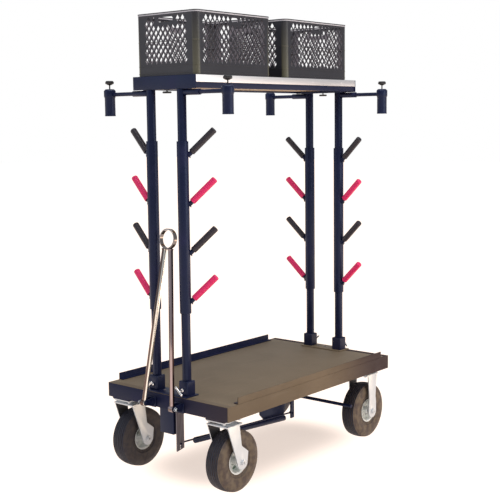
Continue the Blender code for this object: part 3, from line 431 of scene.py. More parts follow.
def web_coat():
    """The dished web of the rim: dark green in the hollow, with bright patches at random as painted
    highlights.
    """
    f = Finish("rim_web_coat", 0.1)
    # Bright patches at random: painted highlights on the web.
    rubbed = f.between(f.noise(34.0, 3.0), 0.34, 0.46)
    return f.made(f.mix(rubbed, (0.11, 0.175, 0.135), (0.86, 0.9, 0.88)), 0.34 + rubbed * 0.08)


def dipped_vinyl(name, light, dark):
    """Dipped vinyl with faint flow marks."""
    f = Finish(name, Specular_IOR_Level=0.45)
    flow = f.noise(120.0, 4.0, (1.0, 1.0, 0.5))
    return f.made(f.mix(flow, dark, light), 0.34 + flow * 0.16, flow, 0.0003)


def moulded(name, light, dark, rough):
    """Moulded plastic with a fine grain."""
    f = Finish(name)
    grain = f.noise(1100.0, 2.0)
    cloud = f.noise(14.0, 4.0)
    return f.made(f.mix(cloud, dark, light), rough + grain * 0.12, grain, 0.00012)


def crate_moulding():
    """Dark moulded plastic, with a painted olive highlight on the corner columns and painted light on the
    inside faces.
    """
    f = Finish("crate_plastic")
    grain = f.noise(1100.0, 2.0)
    cloud = f.noise(14.0, 4.0)
    wall = f.mix(cloud, (0.012, 0.012, 0.02), (0.021, 0.022, 0.031))
    # The corner columns take a painted highlight, and the inside faces painted light.
    for region, painted_light_tint in (("column", (0.11, 0.105, 0.068)), ("inner", (0.27, 0.24, 0.27))):
        share = f.node("ShaderNodeAttribute", {"attribute_name": region}, output="Fac")
        wall = f.mix(share, wall, painted_light_tint)
    return f.made(wall, 0.34 + grain * 0.12, grain, 0.00012)


def birch_ply():
    """Birch plywood with grain along the shelf and dark glue lines at the edges."""
    f = Finish("birch_ply")
    ring = f.noise(40.0, 8.0, (1.0, 0.06, 1.0), 0.62)
    fibre = f.noise(900.0, 3.0, (1.0, 0.03, 1.0))
    height = f.spot("Z")
    glue = f.between(height.math("PINGPONG", height, 0.00085), 0.0, 0.00022)
    wood = f.mix(ring, (0.56, 0.4, 0.235), (0.42, 0.275, 0.15))
    return f.made(f.mix(glue, (0.25, 0.155, 0.085), wood), 0.5 + fibre * 0.18, fibre, 0.00015)


black = powder_coat("black_powder_coat", 0.0)
lever_black = powder_coat("worn_powder_coat", 0.85)
deck_colour = deck_coat()
edge_colour = edge_coat()
strip_colour = strip_coat()
zinc = zinc_plate()
fork_plating = fork_zinc()
chrome = tow_chrome()
bright_chrome = chrome_plate("bright_chrome", (0.95, 0.95, 0.95), (0.8, 0.8, 0.8))
# The pull ring's dark brown chrome colour is a painted reflection of dark, warm surroundings.
ring_chrome = chrome_plate("ring_chrome", (0.24, 0.215, 0.205), (0.11, 0.09, 0.085))
strip_metal = anodised_strip()
rubber = tyre_compound("tyre_compound", 1.0)
# Less brown side walls for the left wheels: painted shade.
shaded_rubber = tyre_compound("shaded_tyre_compound", 0.38)
rim_colour = rim_coat()
web_colour = web_coat()
red_vinyl = dipped_vinyl("red_dipped_vinyl", (0.94, 0.03, 0.19), (0.82, 0.016, 0.13))
black_vinyl = dipped_vinyl("black_dipped_vinyl", (0.03, 0.024, 0.036), (0.014, 0.011, 0.018))
knob_plastic = moulded("knob_plastic", (0.02, 0.02, 0.022), (0.011, 0.011, 0.013), 0.36)
crate_plastic = crate_moulding()
# A pale grey line round each crate under its lip.
rim_line_plastic = moulded("pale_rim_plastic", (0.68, 0.65, 0.68), (0.52, 0.5, 0.53), 0.4)
ply = birch_ply()


def deselect():
    bpy.ops.object.select_all(action="DESELECT")


def named(name):
    """The primitive just added, with its place taken into its mesh."""
    piece = bpy.context.object
    piece.name = name
    piece.data.name = name
    bpy.ops.object.transform_apply(location=True, rotation=True, scale=True)
    return piece


def only(piece):
    deselect()
    piece.select_set(True)
    bpy.context.view_layer.objects.active = piece


def removed(*pieces):
    for piece in pieces:
        bpy.data.objects.remove(piece, do_unlink=True)


def apply(piece, kind, **settings):
    """Adds a modifier and applies it."""
    only(piece)
    step = piece.modifiers.new(kind.lower(), kind)
    for key, value in settings.items():
        setattr(step, key, value)
    bpy.ops.object.modifier_apply(modifier=step.name)


def ease(piece, width=0.0008, segments=2, angle=35):
    """Rounds the piece's sharp edges."""
    if width:
        apply(
            piece,
            "BEVEL",
            width=width,
            segments=segments,
            limit_method="ANGLE",
            angle_limit=math.radians(angle),
            use_clamp_overlap=True,
        )
    only(piece)
    bpy.ops.object.shade_smooth_by_angle(angle=math.radians(angle))
    return piece


def block(name, low, high, width):
    """A square-edged block between two corners, with its edges rounded."""
    low, high = Vector(low), Vector(high)
    deselect()
    bpy.ops.mesh.primitive_cube_add(size=1.0, location=(low + high) / 2, scale=high - low)
    return ease(named(name), width)


def toward(way):
    """The turn that points a piece's own Z along `way`."""
    return Vector(way).to_track_quat("Z", "Y").to_euler()


def round_stock(name, start, end, radius, sides, ends):
    start, end = Vector(start), Vector(end)
    deselect()
    bpy.ops.mesh.primitive_cylinder_add(
        vertices=sides,
        radius=radius,
        depth=(end - start).length,
        location=(start + end) / 2,
        rotation=toward(end - start),
        end_fill_type=ends,
    )
    return named(name)


def bar(name, start, end, radius, sides=32, width=0.0008):
    """A round bar between two points, with eased ends."""
    return ease(round_stock(name, start, end, radius, sides, "NGON"), width)


def pipe(name, start, end, radius, bore, sides=post_sides):
    """An open tube between two points."""
    piece = round_stock(name, start, end, radius, sides, "NOTHING")
    apply(piece, "SOLIDIFY", thickness=radius - bore, offset=-1.0, use_rim=True)
    return ease(piece, 0.0006)


def weld_ring(place, way, radius, bead):
    """A bead of weld round a joint, on the plane that faces `way`."""
    deselect()
    bpy.ops.mesh.primitive_torus_add(
        location=place,
        rotation=toward(way),
        major_radius=radius,
        minor_radius=bead,
        major_segments=28,
        minor_segments=10,
    )
    return ease(named("weld"), 0.0)


def spun(name, profile, centre, axis, steps, angle=32):
    """A chain of (radius, height) points extruded one by one and spun about its axis."""
    deselect()
    bpy.ops.mesh.primitive_plane_add(size=0.001)
    piece = bpy.context.object
    bpy.ops.object.mode_set(mode="EDIT")
    bpy.ops.mesh.merge(type="CENTER")
    bpy.ops.transform.translate(value=(profile[0][0], 0.0, profile[0][1]))
    for (radius, height), (next_radius, next_height) in zip(profile, profile[1:]):
        step = (next_radius - radius, 0.0, next_height - height)
        bpy.ops.mesh.extrude_region_move(TRANSFORM_OT_translate={"value": step})
    bpy.ops.mesh.select_all(action="SELECT")
    bpy.ops.mesh.spin(steps=steps, angle=2 * math.pi, center=ORIGIN, axis=UP)
    bpy.ops.mesh.select_all(action="SELECT")
    bpy.ops.mesh.remove_doubles(threshold=1e-6)
    bpy.ops.mesh.normals_make_consistent(inside=False)
    bpy.ops.object.mode_set(mode="OBJECT")
    piece.location = centre
    piece.rotation_euler = toward(axis)
    named(name)
    bpy.ops.object.shade_smooth_by_angle(angle=math.radians(angle))
    return piece


def rounded(points, width):
    """A profile with each inner corner replaced by a short chamfer."""
    out = [points[0]]
    for before, corner, after in zip(points, points[1:], points[2:]):
        a, b, c = (Vector(point) for point in (before, corner, after))
        back = min(width, (a - b).length * 0.45)
        on = min(width, (c - b).length * 0.45)
        out += [tuple(b + (a - b).normalized() * back), tuple(b + (c - b).normalized() * on)]
    out.append(points[-1])
    return out


def ring_profile(inner, outer, half, width):
    """The closed outline of a flat ring, with three of its corners eased."""
    return rounded([(inner, -half), (outer, -half), (outer, half), (inner, half), (inner, -half)], width)


def joined(name, *pieces):
    only(pieces[0])
    for piece in pieces:
        piece.select_set(True)
    bpy.ops.object.join()
    pieces[0].name = name
    pieces[0].data.name = name
    return pieces[0]


def carved(piece, *tools):
    """Cuts the tools out of the piece."""
    for tool in tools:
        apply(piece, "BOOLEAN", object=tool, operation="DIFFERENCE", solver="EXACT")
        removed(tool)
    return piece


def copy_of(piece, name, offset):
    """A second piece with its own mesh, moved."""
    twin = piece.copy()
    twin.data = piece.data.copy()
    twin.name = name
    twin.data.name = name
    bpy.context.scene.collection.objects.link(twin)
    twin.data.transform(Matrix.Translation(offset))
    return twin


def softened(node, width):
    """A copy of a frame node with its facets merged and its sharp edges rounded."""
    piece = bpy.data.objects.new(node + "_finished", frame["nodes"][node].data.copy())
    bpy.context.scene.collection.objects.link(piece)
    only(piece)
    bpy.ops.object.mode_set(mode="EDIT")
    bpy.ops.mesh.select_all(action="SELECT")
    bpy.ops.mesh.remove_doubles(threshold=1e-5)
    bpy.ops.mesh.dissolve_limited(angle_limit=math.radians(0.5))
    bpy.ops.object.mode_set(mode="OBJECT")
    return ease(piece, width, 2, 30)


def done(piece, look, body, slot, *nodes):
    """Gives a piece its finish, the body it moves with and the nodes it stands for."""
    piece.data.materials.clear()
    piece.data.materials.append(look)
    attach(piece, body)
    if nodes:
        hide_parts(*nodes)


def kept(node, width, look, body, slot):
    """A frame node kept in its own shape, with softened edges."""
    done(softened(node, width), look, body, slot, node)


def hex_bolt(name, at, way, radius, height, washer, thickness=0.0015):
    """A hexagon head on its washer; `at` is the seat and `way` points out of it."""
    at, way = Vector(at), Vector(way)
    ring = bar(name + "_washer", at, at + way * thickness, washer, 28, 0.0003)
    head = bar(name, at + way * thickness * 0.8, at + way * (thickness + height), radius, 6, 0.0005)
    return joined(name, head, ring)


def round_head(name, at, way, radius, height):
    """A low domed screw head with a socket in it."""
    profile = [(0.0, height * 0.55), (radius * 0.34, height * 0.55), (radius * 0.38, height)]
    profile += [(radius * 0.7, height * 0.88), (radius * 0.93, height * 0.5)]
    profile += [(radius, 0.0), (0.0, -0.0002)]
    return spun(name, profile, at, way, 20)


# Deck, rails and socket bars
def deck():
    kept("deck_frame", 0.0012, edge_colour, "cart", "black_paint")
    kept("deck_panel", 0.0015, deck_colour, "cart", "deck_paint")
    for side in SIDES:
        kept(side + "_rail", 0.0012, edge_colour, "cart", "black_paint")
    for end, look in (("front", black), ("rear", strip_colour)):
        node = end + "_socket_bar"
        kept(node, 0.0012, look, "cart", "black_paint")
        spots = [(x, centre_of(node).y, strip_top) for x in (-0.04, 0.0, 0.04)]
        heads = [round_head("socket_bar_screw", spot, UP, 0.006, 0.0026) for spot in spots]
        done(joined(node + "_screws", *heads), lever_black, "cart", "black_paint")


# Post frames: tubes, top plate, stub tubes and stop pins
def post_frame(end):
    node = end + "_post_frame"
    post_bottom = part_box(node)[0][2]
    stub_z = shelf_low[2] - stub_drop
    pin_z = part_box(end + "_left_sleeve")[0][2] - stop_pin_drop
    tubes = []
    for side, way in SIDES.items():
        x, y, _ = pivot(f"{end}_{side}_sleeve_swing")
        post = pipe("post", (x, y, post_bottom), (x, y, shelf_low[2] - gap), post_radius, post_bore)
        stub_end = (way * stub_end_x, y, stub_z)
        tubes.append(carved(post, bar("bore", (x, y, stub_z), stub_end, stub_bore, width=0.0)))
        stub_start = (x + way * (post_radius - 0.002), y, stub_z)
        tubes.append(pipe("stub", stub_start, stub_end, stub_radius, stub_bore, 36))
        pin_ends = ((x, y - stop_pin_reach, pin_z), (x, y + stop_pin_reach, pin_z))
        tubes.append(bar("stop_pin", *pin_ends, stop_pin_radius, 16, 0.0005))
    inward = -ENDS[end]
    face = (shelf_low if inward > 0 else shelf_high)[1] + inward * shelf_end_sheet
    near, far = sorted((face, face + inward * plate_depth))
    top = plywood_top - plate_drop
    low = (-plate_half_width, near, top - plate_thickness)
    tubes.append(block("plate", low, (plate_half_width, far, top), 0.001))
    done(joined(node + "_tubes", *tubes), black, "cart", "black_paint", node)


# Hanger sleeves with pegs and dipped grips
def grip(start, way):
    """A ringed grip with a domed end, its foot over the peg."""
    profile = [(0.0, 0.0), (grip_radius * 0.9, 0.0), (grip_radius, 0.0018)]
    height = 0.006
    while height < grip_length - 0.014:
        profile += [(grip_radius, height), (grip_radius - grip_groove, height + 0.0011)]
        profile += [(grip_radius - grip_groove, height + 0.002), (grip_radius, height + 0.0031)]
        height += grip_ring_pitch
    for share, back in ((1.0, 0.006), (0.93, 0.0026), (0.74, 0.0007), (0.45, 0.0), (0.0, 0.0)):
        profile.append((grip_radius * share, grip_length - back))
    return spun("grip", profile, start, way, 32, 50)


def hanger(corner):
    axis = pivot(corner + "_sleeve_swing")
    turn = sleeve_turns[corner]
    flat = Vector((math.cos(turn), math.sin(turn), 0.0))
    way = flat * math.cos(peg_angle) + Vector(UP) * math.sin(peg_angle)
    foot = Vector((axis.x, axis.y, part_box(corner + "_sleeve")[0][2]))
    steel = [pipe("sleeve", foot, foot + Vector(UP) * sleeve_length, sleeve_radius, sleeve_bore)]
    grips = {"red": [], "black": []}
    for i in range(peg_count):
        height = sleeve_length - peg_from_top - i * peg_pitch
        root = foot + flat * (sleeve_radius - 0.003) + Vector(UP) * height
        neck = root + way * (peg_stub_length + 0.003)
        steel.append(bar("peg", root, neck + way * 0.004, peg_stub_radius, 28, 0.0004))
        weld = root + flat * 0.0032 + way * 0.0022
        steel.append(weld_ring(weld, way * 0.6 + flat * 0.4, peg_stub_radius + 0.001, 0.0019))
        grips["red" if i % 2 else "black"].append(grip(neck, way))
    body = corner + "_hanger"
    done(joined(corner + "_sleeve_tube", *steel), black, body, "black_paint", corner + "_sleeve")
    done(joined(corner + "_red_grips", *grips["red"]), red_vinyl, body, "grip_vinyl")
    done(joined(corner + "_black_grips", *grips["black"]), black_vinyl, body, "grip_vinyl")


# Clamp screws with tommy bars
def clamp(corner):
    side, end = CORNERS[corner]
    face = pivot(corner + "_clamp_turn")
    out = Vector((0.0, end, 0.0))
    low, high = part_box(corner + "_clamp")
    bar_y = high[1] - tommy_ball if end > 0 else low[1] + tommy_ball
    centre = Vector((face.x, bar_y, face.z))
    half = Vector((-side * math.cos(tommy_tilt), 0.0, math.sin(tommy_tilt))) * tommy_half
    collar = [(0.0, 0.0003), (0.0075, 0.0003), (0.0075, 0.0052), (0.006, 0.007), (0.0, 0.007)]
    pieces = [
        bar("screw", face - out * 0.0057, centre, 0.004, 20, 0.0004),
        spun("collar", collar, face, out, 28),
        bar("tommy_bar", centre - half, centre + half, 0.005, 24, 0.0016),
    ]
    for tip in (centre - half * 0.88, centre + half * 0.88):
        deselect()
        bpy.ops.mesh.primitive_uv_sphere_add(segments=20, ring_count=12, radius=tommy_ball, location=tip)
        pieces.append(ease(named("ball"), 0.0))
    piece = joined(corner + "_tommy_screw", *pieces)
    done(piece, bright_chrome, corner + "_screw", "chrome", corner + "_clamp")


# Shelf: frame, bright strips, plywood floor and the knobs under it
def shelf():
    kept("shelf_frame", 0.001, black, "cart", "black_paint")
    kept("shelf_floor", 0.0006, ply, "cart", "plywood")
    for side, way in SIDES.items():
        node = side + "_shelf_strip"
        low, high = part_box(node)
        kept(node, 0.0009, strip_metal, "cart", "aluminium")
        x = (low[0] if way < 0 else high[0]) - way * 0.001
        heads = []
        for i in range(rivet_count):
            y = low[1] + (high[1] - low[1]) * (i + 0.5) / rivet_count
            heads.append(round_head("rivet", (x, y, centre_of(node).z), (way, 0, 0), 0.0036, 0.0016))
        done(joined(side + "_strip_rivets", *heads), strip_metal, "cart", "aluminium")
    profile = [(0.0, 0.0), (0.0028, 0.0), (0.0028, -0.0055), (0.008, -0.006), (0.017, -0.0064)]
    profile += [(0.0185, -0.008), (0.0185, -0.0122), (0.0168, -0.014), (0.0, -0.014)]
    for end in ENDS:
        node = end + "_shelf_knob"
        centre = centre_of(node)
        centre.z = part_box(node)[1][2]
        knob = spun(end + "_shelf_thumb_screw", profile, centre, UP, 40)
        done(knob, knob_plastic, end + "_shelf_screw", "knob_plastic", node)


# Arms, receivers and their knobs
def arm(corner):
    node = corner + "_arm"
    low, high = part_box(node)
    _, y, z = centre_of(node)
    piece = bar(node + "_bar", (low[0], y, z), (high[0], y, z), arm_radius, 36, 0.001)
    done(piece, black, corner + "_outrigger", "black_paint", node)


def receiver(corner):
    node = corner + "_receiver"
    low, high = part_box(node)
    foot = centre_of(node)
    foot.z = low[2]
    top = high[2] - low[2]
    wall, head, bore = receiver_radius, receiver_head_radius, receiver_bore
    outside = [(bore, 0.0), (wall, 0.0), (wall, top - 0.038), (head, top - 0.032)]
    outside += [(head, top - 0.007), (head * 0.72, top), (0.0, top)]
    inside = [(0.0, top - 0.0371), (bore * 0.6, top - 0.0371), (bore, top - 0.039), (bore, 0.0)]
    lip = [(bore + 0.0003, 0.0004), (wall + 0.0006, 0.0004), (wall + 0.0006, 0.005)]
    lip += [(wall, 0.006), (bore + 0.0003, 0.006)]
    shell = spun("shell", rounded(outside, 0.0012) + inside, foot, UP, 48)
    cup = joined(node + "_cup", shell, spun("lip", lip, foot, UP, 48))
    done(cup, black, corner + "_outrigger", "black_paint", node)


def wing_knob(corner):
    node = corner + "_knob"
    low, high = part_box(node)
    base = centre_of(node)
    base.z = low[2]
    top = high[2] - low[2]
    wall = knob_radius - 0.0012
    profile = [(0.0, 0.0), (0.0028, 0.0), (0.0028, 0.0165), (0.0075, 0.0172), (wall, knob_foot)]
    profile += [(wall, top - 0.004), (knob_radius * 0.8, top), (0.0, top)]
    pieces = [spun("knob", rounded(profile, 0.0012), base, UP, 36)]
    for i in range(knob_ridges):
        turn = 2 * math.pi * i / knob_ridges
        spot = base + Vector((math.cos(turn), math.sin(turn), 0.0)) * (knob_radius - 0.0019)
        ridge_ends = (spot + Vector(UP) * knob_foot, spot + Vector(UP) * (top - 0.0045))
        pieces.append(bar("ridge", *ridge_ends, 0.0019, 10, 0.0006))
    piece = joined(corner + "_wing_knob", *pieces)
    done(piece, knob_plastic, corner + "_receiver_screw", "knob_plastic", node)


# Lattice crates
def rounded_shell(name, size, low, high, corner):
    """An upright box with round corner columns."""
    deselect()
    middle = (0.0, 0.0, (low + high) / 2)
    bpy.ops.mesh.primitive_cube_add(size=1.0, location=middle, scale=(*size, high - low))
    piece = named(name)
    bpy.ops.object.mode_set(mode="EDIT")
    bpy.ops.mesh.select_mode(type="EDGE")
    bpy.ops.mesh.select_all(action="DESELECT")
    bpy.ops.object.mode_set(mode="OBJECT")
    for edge in piece.data.edges:
        a, b = (piece.data.vertices[v].co for v in edge.vertices)
        edge.select = abs(a.z - b.z) > (high - low) / 2
    bpy.ops.object.mode_set(mode="EDIT")
    bpy.ops.mesh.bevel(offset=corner, segments=7, affect="EDGES")
    bpy.ops.mesh.select_mode(type="VERT")
    bpy.ops.object.mode_set(mode="OBJECT")
    return piece


def diamonds(columns, reach, across_x, handle):
    """Staggered diamond prisms that pass through two facing walls, clear of the hand hole."""
    half_wide = (diamond_pitch - diamond_bar * 1.35) / 2
    half_high = (diamond_rise - diamond_bar * 1.35) / 2
    length, height = handle
    deselect()
    bpy.ops.mesh.primitive_cylinder_add(vertices=4, radius=1.0, depth=reach, end_fill_type="NGON")
    first = named("diamond")
    turn = Matrix.Rotation(math.pi / 2, 4, "X" if across_x else "Y")
    stretch = (half_wide, 1.0, half_high, 1.0) if across_x else (1.0, half_wide, half_high, 1.0)
    first.data.transform(Matrix.Diagonal(stretch) @ turn)
    z = crate_band_top + half_high + 0.002
    ceiling = crate_height - crate_rim_height - half_high + 0.004
    hand_floor = crate_height - handle_drop - height / 2 - 0.002
    tools = []
    row = 0
    while z <= ceiling:
        count = columns - row % 2
        for column in range(count):
            place = (column - (count - 1) / 2) * diamond_pitch
            beside = abs(place) - half_wide > length / 2 + 0.003
            if beside or z + half_high <= hand_floor:
                tools.append(copy_of(first, "diamond", (place, 0.0, z) if across_x else (0.0, place, z)))
        row += 1
        z += diamond_rise / 2
    removed(first)
    return joined("diamonds", *tools)


def hand_hole(reach, across_x, size):
    """An oval prism for a hand hole in two facing walls."""
    length, height = size
    half = (length - height) / 2
    deselect()
    bpy.ops.mesh.primitive_cylinder_add(vertices=32, radius=height / 2, depth=reach)
    piece = named("hand_hole")
    for vertex in piece.data.vertices:
        vertex.co.x += half if vertex.co.x > 1e-5 else -half if vertex.co.x < -1e-5 else 0.0
    turn = Matrix.Rotation(math.pi / 2, 4, "X")
    if not across_x:
        turn = Matrix.Rotation(math.pi / 2, 4, "Z") @ turn
    piece.data.transform(Matrix.Translation((0, 0, crate_height - handle_drop)) @ turn)
    return piece


def crate_size(wider):
    """The crate's nominal width and length, made wider all round."""
    return crate_width + 2 * wider, crate_length + 2 * wider


def hoop(name, proud, low, high, width=0.0005):
    """A band round the crate, standing `proud` of its nominal width."""
    band = rounded_shell(name, crate_size(proud), low, high, crate_corner)
    hole = rounded_shell("hole", crate_size(-0.005), low - 0.01, high + 0.01, crate_corner - 0.004)
    return ease(carved(band, hole), width, 2, 40)


def lattice_crate():
    """The crate and its rim line at the origin, its floor at z = 0."""
    inner_corner = crate_corner - crate_depth
    wall = rounded_shell("wall", crate_size(crate_swell), crate_step, crate_height - 0.001, crate_corner)
    base = rounded_shell("base", crate_size(-0.0005), 0.0, crate_step + 0.004, crate_corner)
    apply(wall, "BOOLEAN", object=base, operation="UNION", solver="EXACT")
    removed(base)
    upper_size = crate_size(crate_swell - crate_depth)
    upper = rounded_shell("upper", upper_size, crate_step + 0.006, crate_height + 0.02, inner_corner)
    lower_size = crate_size(-0.0005 - crate_depth)
    lower = rounded_shell("lower", lower_size, 0.005, crate_step + 0.01, inner_corner)
    carved(wall, upper, lower)
    reach = crate_length + 0.05
    carved(wall, diamonds(15, reach, False, long_handle))
    carved(wall, diamonds(9, reach, True, short_handle))
    carved(wall, hand_hole(reach, False, long_handle), hand_hole(reach, True, short_handle))
    slots = []
    for i in range(-3, 4):
        for middle in (-slot_middle, slot_middle):
            low = (middle - slot_half_length, i * slot_pitch - slot_half_width, -0.01)
            high = (middle + slot_half_length, i * slot_pitch + slot_half_width, 0.02)
            slots.append(block("slot", low, high, 0.0))
    carved(wall, joined("floor_slots", *slots))
    ease(wall, 0.0005, 1, 40)
    top, rib_out = crate_height, crate_swell + 0.0009
    bands = [
        hoop("rim", crate_rim_out - 0.0012, top - crate_rim_height, top - 0.0084, 0.0008),
        hoop("lip", crate_rim_out, top - 0.0042, top, 0.0008),
        hoop("low_rib", rib_out, crate_band_top - 0.005, crate_band_top - 0.002),
        hoop("foot_rib", rib_out, crate_step + 0.008, crate_step + 0.011),
        hoop("mid_rib", crate_swell + 0.0007, crate_mid_rib - 0.0014, crate_mid_rib + 0.0014),
    ]
    line = hoop("rim_line", crate_rim_out - 0.0006, top - 0.0086, top - 0.004, 0.0)
    crate = joined("lattice_crate", wall, *bands)
    # Marks for painted light: a highlight on the corner columns and lighter inside faces.
    columns = crate.data.attributes.new("column", "FLOAT", "POINT")
    painted_inside_light = crate.data.attributes.new("inner", "FLOAT", "POINT")
    for vertex in crate.data.vertices:
        x = abs(vertex.co.x) - (crate_width / 2 + crate_swell - crate_corner)
        y = abs(vertex.co.y) - (crate_length / 2 + crate_swell - crate_corner)
        depth = crate_corner - (math.hypot(x, y) if min(x, y) > 0 else max(x, y))
        below_rim = vertex.co.z < crate_height - crate_rim_height
        walled = below_rim and vertex.co.z > crate_step + 0.001
        columns.data[vertex.index].value = float(below_rim and min(x, y) > crate_corner * 0.1)
        painted_inside_light.data[vertex.index].value = float(walled and depth > crate_depth * 0.7)
    return crate, line


def crates():
    pattern, line = lattice_crate()
    for end in ENDS:
        node = end + "_crate"
        offset = (0.0, centre_of(node).y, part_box(node)[0][2])
        body = end + "_crate_body"
        done(copy_of(pattern, end + "_lattice_crate", offset), crate_plastic, body, "crate_plastic", node)
        done(copy_of(line, node + "_rim_line", offset), rim_line_plastic, body, "crate_plastic")
    removed(pattern, line)


# Tow bar
def tow_bar():
    hinge = pivot("tow_bar_fold")
    lean = Vector((0.0, math.sin(tow_lean), math.cos(tow_lean)))
    ring_axis = Vector((0.0, math.cos(tow_lean), -math.sin(tow_lean)))
    outline = ring_profile(tow_ring_radius - tow_ring_wall, tow_ring_radius, tow_ring_depth / 2, 0.0012)
    ring = spun("tow_pull_ring", outline, hinge + lean * tow_ring_height, ring_axis, 64)
    done(ring, ring_chrome, "tow_handle", "chrome")
    steel = []
    for side in (-1, 1):
        foot = hinge + Vector((side * tow_foot_x, 0.0, 0.0))
        head = hinge + lean * (tow_ring_height - tow_ring_radius * 0.93)
        head.x = side * tow_top_x
        leg = (head - foot).normalized()
        steel.append(bar("leg", foot + leg * 0.011, head, tow_leg_radius))
        steel.append(spun("eye", ring_profile(0.0054, 0.0139, tow_eye_half, 0.001), foot, ACROSS, 40))
        steel.append(weld_ring(head - leg * 0.004, leg, tow_leg_radius + 0.0004, 0.0022))
    done(joined("tow_bar_tube", *steel), chrome, "tow_handle", "chrome", "tow_bar")
    for side, way in SIDES.items():
        node = side + "_tow_bracket"
        low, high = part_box(node)
        kept(node, 0.0008, black, "cart", "black_paint")
        tip = Vector((low[0] if way < 0 else high[0], hinge.y, hinge.z))
        out = Vector((way, 0.0, 0.0))
        nut = hex_bolt("pin_nut", tip - out * 0.0118, out, 0.0078, 0.0062, 0.0092)
        end = bar("pin_end", tip - out * 0.008, tip, 0.0052, 24)
        done(joined(side + "_hinge_pin_nut", nut, end), zinc, "cart", "bright_zinc")


# Brake linkage
def brake():
    kept("brake_block", 0.0012, black, "cart", "black_paint")
    kept("brake_lever", 0.001, lever_black, "front_brake_lever", "black_paint")
    kept("brake_rod", 0.0006, black, "brake_link", "black_paint")
    kept("brake_shaft", 0.001, black, "brake_rocker", "black_paint")
    kept("guide_tube", 0.001, black, "cart", "black_paint")
    seat = pivot("brake_lever_pull") + Vector((0.0042, 0.0, 0.0))
    done(hex_bolt("lever_bolt", seat, ACROSS, 0.008, 0.0052, 0.01), zinc, "cart", "bright_zinc")


# Casters
def fork(corner):
    front = CORNERS[corner][1] < 0
    node = corner + "_fork"
    wheel = pivot(corner + "_wheel_roll")
    body = corner + "_caster" if front else "cart"
    piece = softened(node, 0.0012)
    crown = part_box(node)[1][2]
    for vertex in piece.data.vertices:
        rise = (vertex.co.z - wheel.z) / (crown - wheel.z)
        if front and 0.0 < rise < 1.0 and abs(vertex.co.x - wheel.x) > fork_reach - 0.008:
            vertex.co.y += fork_lean * math.sin(math.pi * rise) ** 2
    done(piece, fork_plating, body, "bright_zinc", node)
    fittings = []
    for way in (-1, 1):
        out = Vector((way, 0.0, 0.0))
        seat = wheel + out * fork_reach
        fittings.append(hex_bolt("axle_nut", seat, out, 0.0125, 0.007, 0.0165, 0.0016))
        fittings.append(bar("axle_end", seat, seat + out * 0.01, axle_radius, 24))
    done(joined(corner + "_axle_nuts", *fittings), zinc, body, "bright_zinc")

    plate = corner + "_caster_plate" if front else node
    under = centre_of(plate)
    under.x = wheel.x
    under.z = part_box(plate)[1][2] - caster_plate_thickness - (0.0 if front else rear_crown_thickness)
    bolt_x = 0.04
    bolt_y = 0.048 if front else 0.036
    bolts = []
    for x in (-bolt_x, bolt_x):
        for y in (-bolt_y, bolt_y):
            seat = under + Vector((x, y, 0.0))
            bolts.append(hex_bolt("plate_bolt", seat, (0, 0, -1), 0.0058, 0.0045, 0.008))
    done(joined(corner + "_plate_bolts", *bolts), zinc, "cart", "bright_zinc")
    if front:
        kept(plate, 0.001, zinc, "cart", "bright_zinc")
        profile = [(0.0, 0.0), (0.0335, 0.0), (0.0335, -0.0045), (0.03, -0.006)]
        profile += [(0.03, -0.0075), (0.0325, -0.009), (0.03, -0.0126), (0.0, -0.0126)]
        race = spun(corner + "_swivel_race", rounded(profile, 0.0008), under, UP, 48)
        done(race, zinc, "cart", "bright_zinc")


def tyre_shape():
    """A ribbed tyre about the X axis at the origin."""
    half = tyre_width / 2

    def tread(edge):
        """The tread's radius this far from its middle."""
        return tyre_radius - (edge / half) ** 2 * tread_fall

    outer = []
    for inside, outside in ((0.0, 0.0046), (0.0074, 0.014), (0.0168, 0.0236), (0.0264, 0.0318)):
        if inside:
            outer.append((tread(inside) - tyre_groove, inside - 0.0004))
        outer += [(tread(inside), inside), (tread(outside), outside)]
        outer.append((tread(outside) - tyre_groove, outside + 0.0004))
    shoulder = ((0.009, 0.865), (0.015, 0.93), (0.024, 0.975), (0.025, 0.99))
    wall = ((0.033, 0.999), (0.044, 0.985), (0.056, 0.935), (0.057, 0.95))
    bead = ((0.061, 0.925), (0.062, 0.89), (0.07, 0.82), (0.0752, 0.77))
    outer += [(tyre_radius - drop, half * share) for drop, share in shoulder + wall + bead]
    outer += [(rim_radius + 0.004, half * 0.74), (rim_radius + 0.0006, half * 0.69)]
    outer.append((rim_radius + 0.0004, 0.0))
    profile = [(radius, -height) for radius, height in reversed(outer[1:])] + outer
    return spun("tyre", profile, ORIGIN, ACROSS, 96, 40)


